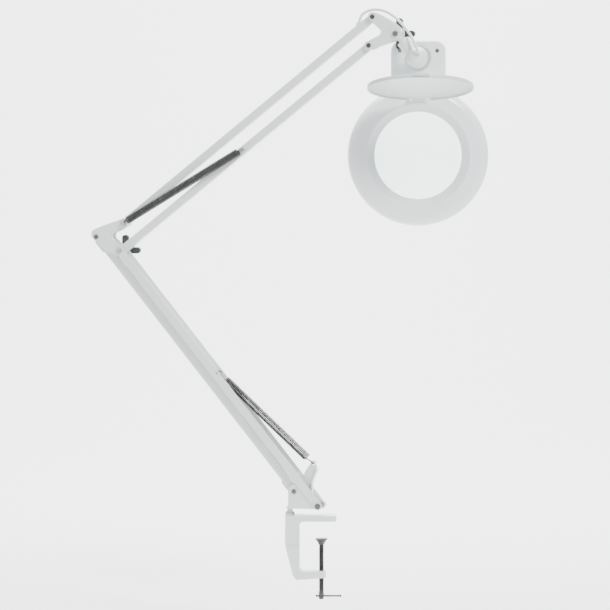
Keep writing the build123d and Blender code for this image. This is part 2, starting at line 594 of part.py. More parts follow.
# The lead that feeds the head leaves the upper link through a gland in its top wall and hangs in
# an open arch to the knuckle: straight runs joined by arcs as large as the runs allow.
LEAD_R, GLAND_R, GLAND_PROUD = 2.0, 3.4, 3.0
LEAD_ROUTE = [
    (97.9, 692.5, 0.0), (100.3, 706.0, 0.0), (109.5, 713.6, 0.0), (124.0, 716.6, 0.0), (139.0, 712.6, 1.0),
    (153.0, 703.5, 3.5), (165.5, 691.0, 7.5), (175.5, 678.5, 12.5), (182.5, 667.5, 17.5),
    (186.0, 659.6, 19.6),
    (186.8, 654.4, 16.8), (185.4, 652.2, 9.6),
]
LEAD_POINTS = [Vector(*arm_point(*place)) for place in LEAD_ROUTE]
FIRST_RUN = (LEAD_POINTS[1] - LEAD_POINTS[0]).normalized()
LAST_RUN = (LEAD_POINTS[-1] - LEAD_POINTS[-2]).normalized()
LINK_TOP = bar_plane(ELBOW_TOP, UPPER_ANGLE)
GLAND_FOOT = LEAD_POINTS[0] + FIRST_RUN * (
    (BAR_WIDTH / 2 - LINK_TOP.to_local_coords(LEAD_POINTS[0]).Y) / FIRST_RUN.dot(LINK_TOP.y_dir)
)


def corner_radii(points):
    """The largest tangent arc for each corner of a route."""
    radii = []
    for before, corner, after in zip(points, points[1:], points[2:]):
        turn = (corner - before).get_angle(after - corner)
        shorter = min((corner - before).length, (after - corner).length)
        radii.append(0.45 * shorter / tan(radians(turn / 2)))
    return radii


def bored_along(origin, run, radius, length):
    """A round cutter along a run."""
    with BuildPart() as cutter:
        with BuildSketch(Plane(origin=origin, z_dir=run)):
            Circle(radius)
        extrude(amount=length)
    return cutter


with BuildPart() as upper_link:
    add(square_bar(ELBOW_TOP, UPPER_ANGLE, UPPER_ARM, FIT).part)
    add(bored_along(LEAD_POINTS[0], FIRST_RUN, GLAND_R, BAR_WIDTH).part, mode=Mode.SUBTRACT)
finish(upper_link, "upper_arm_link")
with BuildPart() as lead_gland:
    add(bored_along(GLAND_FOOT - FIRST_RUN * 2.2, FIRST_RUN, GLAND_R, GLAND_PROUD + 2.2).part)
    add(bored_along(LEAD_POINTS[0], FIRST_RUN, LEAD_R + SLACK, BAR_WIDTH).part, mode=Mode.SUBTRACT)
finish(lead_gland, "lead_gland")

LEAD_RADII = corner_radii(LEAD_POINTS)
with BuildPart() as head_lead:
    with BuildLine() as lead_line:
        FilletPolyline(*LEAD_POINTS, radius=LEAD_RADII)
    with BuildSketch(Plane(origin=lead_line.line @ 0, z_dir=lead_line.line % 0)):
        Circle(LEAD_R)
    sweep()
LEAD_LENGTH = lead_line.wires()[0].length
print("lead radii", [round(r, 1) for r in LEAD_RADII])
print("lead length", round(LEAD_LENGTH, 1),
      "volume against section", round(head_lead.part.volume / (pi * LEAD_R**2 * LEAD_LENGTH), 4))
finish(head_lead, "head_lead")

# ---- top bracket --------------------------------------------------------------------------------
TILT_BOSS_R, TILT_BOSS_TALL = 8.6, 0.6
EDGE_ANGLE = TILT_REACH_ANGLE - degrees(asin((TILT_BOSS_R - EAR_R) / TILT_REACH))
TOP_ROUNDS = [
    (TOP_LINK, EAR_R), (TOP_MAIN, EAR_R), (TILT, TILT_BOSS_R), (polar(TOP_LINK, 28.0, -18.0), 1.6),
]
TOP_BORES = [(TOP_LINK, RIVET_R), (TOP_MAIN, RIVET_R), (TILT, PIVOT_R)]
FOLD_LENGTH, FOLD_BACK = 22.0, 20.5           # the fold that joins the plates along their lower edge
with BuildPart() as top_bracket:
    add(notched_plate(TOP_ROUNDS, TOP_MAIN, TOP_LINK, -1, PLATE_IN, TOP_BORES).part)
    add(notched_plate(TOP_ROUNDS, TOP_MAIN, TOP_LINK, -1, -PLATE_OUT, TOP_BORES).part)
    with BuildSketch(arm_plane(-PLATE_IN)):
        under_tilt = polar(TILT, TILT_BOSS_R - PLATE / 2, EDGE_ANGLE - 90)
        with Locations(polar(under_tilt, -FOLD_BACK, EDGE_ANGLE)):
            Rectangle(FOLD_LENGTH, PLATE, rotation=EDGE_ANGLE)
    extrude(amount=2 * PLATE_IN)
    with BuildSketch(arm_plane(PLATE_OUT)):
        with Locations(TILT):
            Circle(TILT_BOSS_R - 1.5)
            Circle(PIVOT_R, mode=Mode.SUBTRACT)
    extrude(amount=TILT_BOSS_TALL)
finish(top_bracket, "top_bracket")
finish(turned([TOP_MAIN, TOP_LINK], LINK_RIVET), "top_rivets")
finish(washers([TOP_MAIN, TOP_LINK, TILT]), "top_washers")
TILT_FACE = PLATE_OUT + TILT_BOSS_TALL
finish(turned([TILT], [
    (PIVOT_R, -PLATE_OUT - GAP - KNOB_THREAD, TILT_FACE), (HEAD_R + 0.3, TILT_FACE, TILT_FACE + BOLT_HEAD),
]), "tilt_bolt")
finish(lobe_knob(TILT, PLATE_OUT), "tilt_knob")

# ---- knuckle ------------------------------------------------------------------------------------
DOME, DOME_R, BARREL_R, STEM_R, EYE_END_R = (180.9, RING_Z + SWIVEL_UP), 15.3, 9.5, 5.0, 7.5
NECK_R, SPIGOT_R, BARREL_FROM, STEM_LENGTH = 11.0, 7.0, 13.0, 26.0
DISC_R, DISC_TALL, SWIVEL_NUT, SWIVEL_NUT_TALL = 17.5, 4.0, 21.0, 3.0
TILT_POINT, DOME_POINT = Vector(*arm_point(*TILT)), Vector(*arm_point(*DOME))
STEM_RUN = (DOME_POINT - TILT_POINT).normalized()
DISC_FRONT = BOX_FRONT + DISC_TALL
BOX_WALL_BACK = BOX_FRONT - SHELL
with BuildPart() as tilt_stem:
    with BuildSketch(arm_plane(-BAR_OUT)):
        with Locations(TILT):
            Circle(EYE_END_R)
    extrude(amount=BAR_DEPTH)
    with BuildSketch(Plane(origin=TILT_POINT, z_dir=STEM_RUN)):
        Circle(STEM_R)
    extrude(amount=STEM_LENGTH)
    with BuildSketch(arm_plane(-BAR_OUT)):
        with Locations(TILT):
            Circle(PIVOT_R + FIT)
    extrude(amount=BAR_DEPTH, mode=Mode.SUBTRACT)
finish(tilt_stem, "tilt_stem")

with BuildPart() as knuckle:
    with BuildSketch(Plane(origin=TILT_POINT + STEM_RUN * BARREL_FROM, z_dir=STEM_RUN)):
        Circle(BARREL_R)
    extrude(amount=(DOME_POINT - TILT_POINT).length - BARREL_FROM)
    with Locations(DOME_POINT):
        Sphere(DOME_R)
    with BuildSketch(head_plane(DISC_FRONT + GAP)):
        with Locations((0, SWIVEL_UP)):
            Circle(NECK_R)
    extrude(amount=-DOME_POINT.Y - DISC_FRONT - GAP)
    with BuildSketch(head_plane(BOX_WALL_BACK - RUN - SWIVEL_NUT_TALL - 1.2)):
        with Locations((0, SWIVEL_UP)):
            Circle(SPIGOT_R)
    extrude(amount=DISC_FRONT + GAP - BOX_WALL_BACK + RUN + SWIVEL_NUT_TALL + 1.2)
    with BuildSketch(Plane(origin=TILT_POINT + STEM_RUN * (STEM_LENGTH + GAP), z_dir=STEM_RUN * -1)):
        Circle(STEM_R + FIT)
    extrude(amount=STEM_LENGTH, mode=Mode.SUBTRACT)
    lead_bore = bored_along(LEAD_POINTS[-1] + LAST_RUN, LAST_RUN * -1, LEAD_R + SLACK, DOME_R)
    add(lead_bore.part, mode=Mode.SUBTRACT)
finish(knuckle, "knuckle")

with BuildPart() as swivel_nut:
    with BuildSketch(head_plane(BOX_WALL_BACK - RUN - SWIVEL_NUT_TALL)):
        with Locations((0, SWIVEL_UP)):
            RegularPolygon(SWIVEL_NUT / 2, 6, major_radius=False)
            Circle(SPIGOT_R, mode=Mode.SUBTRACT)
    extrude(amount=SWIVEL_NUT_TALL)
finish(swivel_nut, "swivel_nut")

# ---- lamp head: ballast box ---------------------------------------------------------------------
BOX_JOINT = RUN                               # gap between the box and the ring
SCREW_AT, SCREW_SHANK_R, SCREW_CAP_R, SCREW_CAP, POST_R = (26.0, 145.9), 1.5, 2.8, 0.9, 3.6
SWITCH_UP, BEZEL, BEZEL_FRAME, BEZEL_WALL, BEZEL_DEEP = 148.0, (17.6, 13.2), 2.4, 1.0, 9.0
BRIDGE_WIDTH, BRIDGE_THICK, BRIDGE_FRONT = 24.0, 7.6, -12.2
SOFT = 3.0                                    # rounding of the box's outer edges


def box_half(low, high, solid_side):
    """One moulding of the ballast box, open towards the other; solid_side is +1 for the front."""
    inner_low = low if solid_side > 0 else low + SHELL
    inner_high = high - SHELL if solid_side > 0 else high
    with BuildPart() as half:
        with BuildSketch(head_plane(low)) as outline:
            with Locations((0, BOX_TOP / 2)):
                Rectangle(2 * BOX_HALF, BOX_TOP)
            fillet(outline.vertices().group_by(Axis.Y)[-1], BOX_CORNER)
            Circle(RING_R + BOX_JOINT, mode=Mode.SUBTRACT)
        extrude(amount=high - low)
        face = half.faces().filter_by(Plane.XZ).sort_by(Axis.Y)[0 if solid_side > 0 else -1]
        fillet(face.outer_wire().edges().sort_by(Axis.Z)[1:], SOFT)
        with BuildSketch(head_plane(inner_low)) as cavity:
            with Locations((0, BOX_TOP / 2 - SHELL)):
                Rectangle(2 * (BOX_HALF - SHELL), BOX_TOP)
            fillet(cavity.vertices().group_by(Axis.Y)[-1], BOX_CORNER - SHELL)
            Circle(RING_R + BOX_JOINT + SHELL, mode=Mode.SUBTRACT)
        extrude(amount=inner_high - inner_low, mode=Mode.SUBTRACT)
    return half


with BuildPart() as box_front:
    add(box_half(BOX_SPLIT + GAP / 2, BOX_FRONT, 1).part)
    with BuildSketch(head_plane(BOX_WALL_BACK - 1)):
        with Locations((0, SWIVEL_UP)):
            Circle(SPIGOT_R + FIT)
        with Locations((-SCREW_AT[0], SCREW_AT[1]), SCREW_AT):
            Circle(SCREW_SHANK_R)
    extrude(amount=SHELL + 2, mode=Mode.SUBTRACT)
finish(box_front, "ballast_box_front")

with BuildPart() as box_rear:
    add(box_half(RING_BACK, BOX_SPLIT - GAP / 2, -1).part)
    with BuildSketch(head_plane(RING_BACK + SHELL)):
        with Locations((-SCREW_AT[0], SCREW_AT[1]), SCREW_AT):
            Circle(POST_R)
            Circle(SCREW_SHANK_R, mode=Mode.SUBTRACT)
    extrude(amount=BOX_SPLIT - RING_BACK - SHELL - GAP / 2)
    with BuildSketch(head_plane(RING_BACK - 1)):
        with Locations((0, SWITCH_UP)):
            Rectangle(BEZEL[0] + 2 * BEZEL_WALL, BEZEL[1] + 2 * BEZEL_WALL)
    extrude(amount=SHELL + 2, mode=Mode.SUBTRACT)
    with BuildSketch(head_plane(BRIDGE_FRONT - BRIDGE_THICK)):
        with Locations((0, RING_R)):
            Rectangle(BRIDGE_WIDTH, 4 * SHELL)
    extrude(amount=BRIDGE_THICK, mode=Mode.SUBTRACT)
finish(box_rear, "ballast_box_rear")

SCREW_POINTS = [(-SCREW_AT[0], SCREW_AT[1]), SCREW_AT]
with BuildPart() as box_screws:
    with BuildSketch(head_plane(RING_BACK + SHELL + 2)):
        with Locations(*SCREW_POINTS):
            Circle(SCREW_SHANK_R)
    extrude(amount=BOX_FRONT - RING_BACK - SHELL - 2)
    with BuildSketch(head_plane(BOX_FRONT)):
        with Locations(*SCREW_POINTS):
            Circle(SCREW_CAP_R)
            Rectangle(3.4, 0.8, mode=Mode.SUBTRACT)
            Rectangle(0.8, 3.4, mode=Mode.SUBTRACT)
    extrude(amount=SCREW_CAP)
finish(box_screws, "box_screws")

with BuildPart() as swivel_disc:
    with BuildSketch(head_plane(BOX_FRONT)):
        with Locations((0, SWIVEL_UP)):
            Circle(DISC_R)
            Circle(SPIGOT_R + FIT, mode=Mode.SUBTRACT)
    extrude(amount=DISC_TALL)
    fillet(swivel_disc.faces().sort_by(Axis.Y)[0].outer_wire().edges(), 1.2)
finish(swivel_disc, "swivel_disc")

# The choke and the starter stand on the box's rear wall.
CHOKE, CHOKE_AT, CHOKE_TALL = (46.0, 24.0), (-8.0, 126.0), 20.0
STARTER_R, STARTER_AT, STARTER_TALL = 8.0, (25.5, 124.0), 20.0
with BuildPart() as ballast:
    with BuildSketch(head_plane(RING_BACK + SHELL)):
        with Locations(CHOKE_AT):
            Rectangle(CHOKE[0] - 10.0, CHOKE[1])
            Rectangle(CHOKE[0], CHOKE[1] - 4.0)
    extrude(amount=CHOKE_TALL)
finish(ballast, "ballast_choke")
with BuildPart() as starter:
    with BuildSketch(head_plane(RING_BACK + SHELL)):
        with Locations(STARTER_AT):
            Circle(STARTER_R)
    extrude(amount=STARTER_TALL)
    chamfer(starter.faces().sort_by(Axis.Y)[0].edges(), 1.5)
finish(starter, "starter")

# ---- lamp head: ring ----------------------------------------------------------------------------
WALL_IN_R = RING_R - SHELL
LENS_TUBE_R = LENS_R + 0.4
LENS_TUBE_OUT = LENS_TUBE_R + SHELL
REAR_EDGE = 8.0
LENS_CLEAR = LENS_FRONT + 0.7
with BuildPart() as ring_front:
    with BuildSketch(ring_section()):
        with BuildLine():
            Line((RING_R, RING_SPLIT), (RING_R, RING_FRONT - RING_EDGE))
            RadiusArc((RING_R, RING_FRONT - RING_EDGE), (RING_R - RING_EDGE, RING_FRONT), -RING_EDGE)
            Polyline(
                (RING_R - RING_EDGE, RING_FRONT), (CONE_RIM_R, RING_FRONT),
                (LENS_OPENING_R, LENS_CLEAR + SHELL),
                (LENS_OPENING_R, LENS_CLEAR), (LENS_TUBE_R, LENS_CLEAR), (LENS_TUBE_R, BOX_SPLIT),
                (LENS_TUBE_OUT, BOX_SPLIT), (LENS_TUBE_OUT, LENS_CLEAR),
                (CONE_RIM_R + 1.0, RING_FRONT - SHELL),
                (RING_R - RING_EDGE, RING_FRONT - SHELL),
            )
            RadiusArc((RING_R - RING_EDGE, RING_FRONT - SHELL), (WALL_IN_R, RING_FRONT - RING_EDGE),
                      RING_EDGE - SHELL)
            Polyline((WALL_IN_R, RING_FRONT - RING_EDGE), (WALL_IN_R, RING_SPLIT), (RING_R, RING_SPLIT))
        make_face()
    revolve(axis=RING_AXIS)
finish(ring_front, "ring_housing_front")

LIP_R = RING_R - REAR_EDGE - 2.3              # bore of the rear lip that holds the diffuser
with BuildPart() as ring_rear:
    with BuildSketch(ring_section()):
        with BuildLine():
            Line((RING_R, RING_SPLIT - GAP), (RING_R, RING_BACK + REAR_EDGE))
            RadiusArc((RING_R, RING_BACK + REAR_EDGE), (RING_R - REAR_EDGE, RING_BACK), REAR_EDGE)
            Polyline((RING_R - REAR_EDGE, RING_BACK), (LIP_R, RING_BACK), (LIP_R, RING_BACK + SHELL),
                     (RING_R - REAR_EDGE, RING_BACK + SHELL))
            RadiusArc((RING_R - REAR_EDGE, RING_BACK + SHELL), (WALL_IN_R, RING_BACK + REAR_EDGE),
                      SHELL - REAR_EDGE)
            Polyline((WALL_IN_R, RING_BACK + REAR_EDGE), (WALL_IN_R, RING_SPLIT - GAP),
                     (RING_R, RING_SPLIT - GAP))
        make_face()
    revolve(axis=RING_AXIS)
    with BuildSketch(head_plane(BRIDGE_FRONT - BRIDGE_THICK)):
        with Locations((0, RING_R)):
            Rectangle(BRIDGE_WIDTH, 4 * SHELL)
    extrude(amount=BRIDGE_THICK, mode=Mode.SUBTRACT)
finish(ring_rear, "ring_housing_rear")

# A hollow strap carries the box and the wiring on the ring.
BRIDGE_LOW, BRIDGE_TOP = WALL_IN_R + 0.1, RING_R + 13.0
with BuildPart() as bridge:
    with BuildSketch(head_plane(BRIDGE_FRONT - BRIDGE_THICK)):
        with Locations((0, (BRIDGE_LOW + BRIDGE_TOP) / 2)):
            Rectangle(BRIDGE_WIDTH, BRIDGE_TOP - BRIDGE_LOW)
    extrude(amount=BRIDGE_THICK)
    with BuildSketch(Plane.XY.offset(RING_Z + BRIDGE_LOW - 1)):
        with Locations((HEAD_X, BRIDGE_THICK / 2 - BRIDGE_FRONT)):
            Rectangle(BRIDGE_WIDTH - 2 * SHELL, BRIDGE_THICK - 2 * SHELL)
    extrude(amount=BRIDGE_TOP - BRIDGE_LOW + 2, mode=Mode.SUBTRACT)
finish(bridge, "head_bridge")

# The lens rests on the front moulding's seat and a ring behind it holds it there.
with BuildPart() as lens:
    with BuildSketch(ring_section()):
        with BuildLine():
            TangentArc((0, LENS_FRONT + LENS_BULGE), (LENS_R, LENS_FRONT), tangent=(1, 0))
            Line((LENS_R, LENS_FRONT), (LENS_R, LENS_FRONT - LENS_EDGE))
            TangentArc(
                (0, LENS_FRONT - LENS_EDGE - LENS_BULGE), (LENS_R, LENS_FRONT - LENS_EDGE), tangent=(1, 0),
            )
            Line((0, LENS_FRONT - LENS_EDGE - LENS_BULGE), (0, LENS_FRONT + LENS_BULGE))
        make_face()
    revolve(axis=RING_AXIS)
finish(lens, "lens")


def flat_ring(outer, inner, back, front):
    """A flat ring on the lens axis."""
    with BuildPart() as ring:
        with BuildSketch(head_plane(back)):
            Circle(outer)
            Circle(inner, mode=Mode.SUBTRACT)
        extrude(amount=front - back)
    return ring


RETAINER_FRONT = LENS_FRONT - LENS_EDGE - 0.8
finish(flat_ring(LENS_TUBE_R - GAP, LENS_OPENING_R - GAP, BOX_SPLIT, RETAINER_FRONT), "lens_retainer")

TRAY_R, TRAY_OUT, TRAY_WALL = LENS_TUBE_R + 0.3, WALL_IN_R - 0.4, 1.2
TRAY_TOP = BOX_SPLIT - RUN
with BuildPart() as reflector:
    add(flat_ring(TRAY_OUT, TRAY_R, TRAY_TOP - TRAY_WALL, TRAY_TOP).part)
    add(flat_ring(TRAY_R + TRAY_WALL, TRAY_R, RING_BACK, TRAY_TOP).part)
    add(flat_ring(TRAY_OUT, TRAY_OUT - TRAY_WALL, RING_BACK + REAR_EDGE + 0.5, TRAY_TOP).part)
finish(reflector, "reflector_tray")
DIFFUSER_BACK, DIFFUSER_THICK = RING_BACK + SHELL + RUN, 2.0
DIFFUSER_OUT = TRAY_R + TRAY_WALL + RUN
finish(flat_ring(LIP_R + 2.0, DIFFUSER_OUT, DIFFUSER_BACK, DIFFUSER_BACK + DIFFUSER_THICK), "diffuser")

# The ring tube's two ends plug into one base block under the ballast box.
BASE_GAP = 30.0                               # degrees of the ring that the base block takes
with BuildPart() as tube:
    with BuildSketch(ring_section(90 + BASE_GAP / 2)):
        with Locations((TUBE_RING_R, TUBE_FRONT)):
            Circle(TUBE_R)
    revolve(axis=RING_AXIS, revolution_arc=360 - BASE_GAP)
finish(tube, "lamp_tube")
with BuildPart() as tube_base:
    with BuildSketch(ring_section(90 - BASE_GAP / 2)):
        with Locations((TUBE_RING_R, TUBE_FRONT)):
            RectangleRounded(2 * TUBE_R + 3.0, 2 * TUBE_R, 2.0)
    revolve(axis=RING_AXIS, revolution_arc=BASE_GAP)
finish(tube_base, "lamp_base")
CLIP_ANGLES, CLIP_WIDTH, CLIP_WALL = (180, 270, 0), 5.0, 0.5
with BuildPart() as clips:
    for angle in CLIP_ANGLES:
        with BuildSketch(ring_section(angle)):
            with Locations((TUBE_RING_R, TUBE_FRONT)):
                Circle(TUBE_R + FIT + CLIP_WALL)
                Circle(TUBE_R + FIT, mode=Mode.SUBTRACT)
            with Locations((TUBE_RING_R, TUBE_FRONT - TUBE_R)):
                Rectangle(3 * TUBE_R, TUBE_R, mode=Mode.SUBTRACT)
        revolve(axis=RING_AXIS, revolution_arc=CLIP_WIDTH)
finish(clips, "tube_clips")

# ---- lamp head: lid -----------------------------------------------------------------------------
EAR_IN, HINGE_FOOT = LID_TONGUE / 2 + 0.4, 2.0
HINGE_HALF = EAR_IN + EAR_WIDTH
with BuildPart() as lid_bracket:
    with BuildSketch(head_plane(RING_FRONT)):
        with Locations((0, HINGE_UP - 1.0)):
            Rectangle(2 * HINGE_HALF, 11.0)
    extrude(amount=HINGE_FOOT)
    for left in (-HINGE_HALF, EAR_IN):
        with BuildSketch(hinge_section(left, HINGE_UP, 0)):
            with Locations((-HINGE_FRONT, 0)):
                Circle(EAR_TALL)
            with Locations((-RING_FRONT - HINGE_FOOT / 2, 0)):
                Rectangle(HINGE_FOOT, 2 * EAR_TALL)
            make_hull()
            with Locations((-HINGE_FRONT, 0)):
                Circle(HINGE_PIN_R, mode=Mode.SUBTRACT)
        extrude(amount=EAR_WIDTH)
finish(lid_bracket, "lid_bracket")
with BuildPart() as lid_pin:
    with BuildSketch(hinge_section(-HINGE_HALF - 0.5, HINGE_UP, HINGE_FRONT)):
        Circle(HINGE_PIN_R)
    extrude(amount=2 * HINGE_HALF + 1.0)
finish(lid_pin, "lid_hinge_pin")

LID_RIM_WALL, TAB_WIDTH, TAB_REACH, RIM_CLEAR = 2.2, 20.7, 80.0, 2 * HINGE_HALF + 5.0
with BuildPart() as lid:
    with BuildSketch(lid_plane(-LID_SKIN / 2)):
        Circle(LID_R)
        with Locations((0, HINGE_UP - LID_TONGUE / 2)):
            Rectangle(LID_TONGUE, LID_TONGUE)
        with Locations((0, -TAB_REACH + TAB_WIDTH / 2)):
            RectangleRounded(TAB_WIDTH, TAB_WIDTH, 2.5)
    extrude(amount=LID_SKIN)
    with BuildSketch(lid_plane(-LID_SKIN / 2 - LID_RIM)):
        Circle(LID_R)
        Circle(LID_R - LID_RIM_WALL, mode=Mode.SUBTRACT)
        with Locations((0, LID_R)):
            Rectangle(RIM_CLEAR, LID_R / 2, mode=Mode.SUBTRACT)
    extrude(amount=LID_RIM)
    with BuildSketch(hinge_section(-LID_TONGUE / 2, HINGE_UP, HINGE_FRONT)):
        Circle(HINGE_BARREL_R)
    extrude(amount=LID_TONGUE)
    with BuildSketch(hinge_section(-LID_TONGUE / 2, HINGE_UP, HINGE_FRONT)):
        Circle(HINGE_PIN_R + FIT)
    extrude(amount=LID_TONGUE, mode=Mode.SUBTRACT)
finish(lid, "lid")

# ---- lamp head: power switch --------------------------------------------------------------------
BEZEL_PROUD, ROCKER_R, TRUNNION_R = 1.2, 6.2, 1.2
TRUNNION_DEEP = -RING_BACK - 1.0              # the rocker's pivot, behind the lens plane
with BuildPart() as bezel:
    with BuildSketch(head_plane(RING_BACK - BEZEL_PROUD)):
        with Locations((0, SWITCH_UP)):
            Rectangle(BEZEL[0] + 2 * BEZEL_FRAME, BEZEL[1] + 2 * BEZEL_FRAME)
            Rectangle(*BEZEL, mode=Mode.SUBTRACT)
    extrude(amount=BEZEL_PROUD)
    with BuildSketch(head_plane(RING_BACK)):
        with Locations((0, SWITCH_UP)):
            Rectangle(BEZEL[0] + 2 * BEZEL_WALL, BEZEL[1] + 2 * BEZEL_WALL)
            Rectangle(*BEZEL, mode=Mode.SUBTRACT)
    extrude(amount=BEZEL_DEEP)
    with BuildSketch(hinge_section(-BEZEL[0], SWITCH_UP, 0)):
        with Locations((TRUNNION_DEEP, 0)):
            Circle(TRUNNION_R + FIT)
    extrude(amount=2 * BEZEL[0], mode=Mode.SUBTRACT)
finish(bezel, "switch_bezel")

with BuildPart() as rocker:
    with BuildSketch(hinge_section(RUN - BEZEL[0] / 2, SWITCH_UP, 0)):
        with Locations((TRUNNION_DEEP, 0)):
            Circle(ROCKER_R)
        with BuildLine():
            low, dip, high, deep = (TRUNNION_DEEP + r for r in (4.0, 2.6, 5.2, -4.0))
            Polyline((deep, -BEZEL[1]), (low, -BEZEL[1]), (low, -ROCKER_R), (dip, 0), (high, ROCKER_R),
                     (high, BEZEL[1]), (deep, BEZEL[1]), (deep, -BEZEL[1]))
        make_face(mode=Mode.INTERSECT)
    extrude(amount=BEZEL[0] - 2 * RUN)
    with BuildSketch(hinge_section(-BEZEL[0] / 2 - BEZEL_WALL, SWITCH_UP, 0)):
        with Locations((TRUNNION_DEEP, 0)):
            Circle(TRUNNION_R)
    extrude(amount=BEZEL[0] + 2 * BEZEL_WALL)
finish(rocker, "switch_rocker")
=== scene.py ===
"""Looks of a bench-clamp ring-light magnifier lamp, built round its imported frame.

The frame gives every rigid piece its place and size. This script softens the crisp edges of those
pieces, winds the two balance springs, cuts the clamp screw's thread, hangs the lead that feeds the
lamp head, and gives each piece the finish of the material that it is made of. All sizes are in
millimetres unless a name or a docstring says metres.
"""

import json
import logging
import math
from dataclasses import dataclass, field
from enum import Enum
from typing import Any

import bmesh
import bpy
from mathutils import Matrix, Vector


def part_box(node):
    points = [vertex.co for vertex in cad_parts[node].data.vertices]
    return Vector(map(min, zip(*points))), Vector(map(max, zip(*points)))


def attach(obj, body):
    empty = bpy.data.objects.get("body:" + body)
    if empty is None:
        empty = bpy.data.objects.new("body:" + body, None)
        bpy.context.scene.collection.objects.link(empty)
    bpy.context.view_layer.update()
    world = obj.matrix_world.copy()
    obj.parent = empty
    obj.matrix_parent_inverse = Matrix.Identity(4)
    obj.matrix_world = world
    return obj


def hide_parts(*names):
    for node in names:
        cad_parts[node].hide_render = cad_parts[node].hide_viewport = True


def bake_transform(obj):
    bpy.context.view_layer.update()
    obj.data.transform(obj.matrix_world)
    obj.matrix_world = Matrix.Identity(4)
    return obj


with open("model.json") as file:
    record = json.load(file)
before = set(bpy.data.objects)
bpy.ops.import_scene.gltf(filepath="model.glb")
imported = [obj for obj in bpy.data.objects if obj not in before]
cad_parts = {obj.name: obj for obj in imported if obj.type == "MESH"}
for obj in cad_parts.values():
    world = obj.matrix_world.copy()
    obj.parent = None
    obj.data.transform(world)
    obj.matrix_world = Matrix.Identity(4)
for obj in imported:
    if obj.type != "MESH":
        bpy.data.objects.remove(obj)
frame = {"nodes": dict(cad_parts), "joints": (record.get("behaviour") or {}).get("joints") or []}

logging.basicConfig(level=logging.INFO, format="%(message)s")
log = logging.getLogger("magnifier_lamp")

MM = 0.001
Point = tuple[float, float, float]

ONE_POINT = 0.0005 * MM       # vertices nearer than this are the same one
ON_PLANE = 0.0001 * MM        # vertices this near a cutting plane lie on it
FLAT = math.radians(0.2)      # faces that meet within this angle are one flat face
CRISP = math.radians(28.0)    # edges sharper than this are softened
NORMAL_WEIGHT = 60            # how firmly a large face holds the shading of its softened edges


# ---- finishes ---------------------------------------------------------------------------------
DRIFT_DETAIL = 3.0
DRIFT_LOW, DRIFT_HIGH = 0.3, 0.7     # the span that most of the slow noise lies in
DRAWN_DETAIL, PLAIN_DETAIL = 4.0, 1.5
WAVE_RATIO = 3.0                     # brings the wave's bands about one grain apart
WAVE_DISTORTION = 0.3


class Making(Enum):
    """How a surface was made, which sets the pattern that light picks out on it."""

    SPRAYED = "sprayed and baked paint"
    MOULDED = "injection moulded"
    DRAWN = "drawn or turned metal"
    STACKED = "stacked sheet"
    POLISHED = "ground and polished"


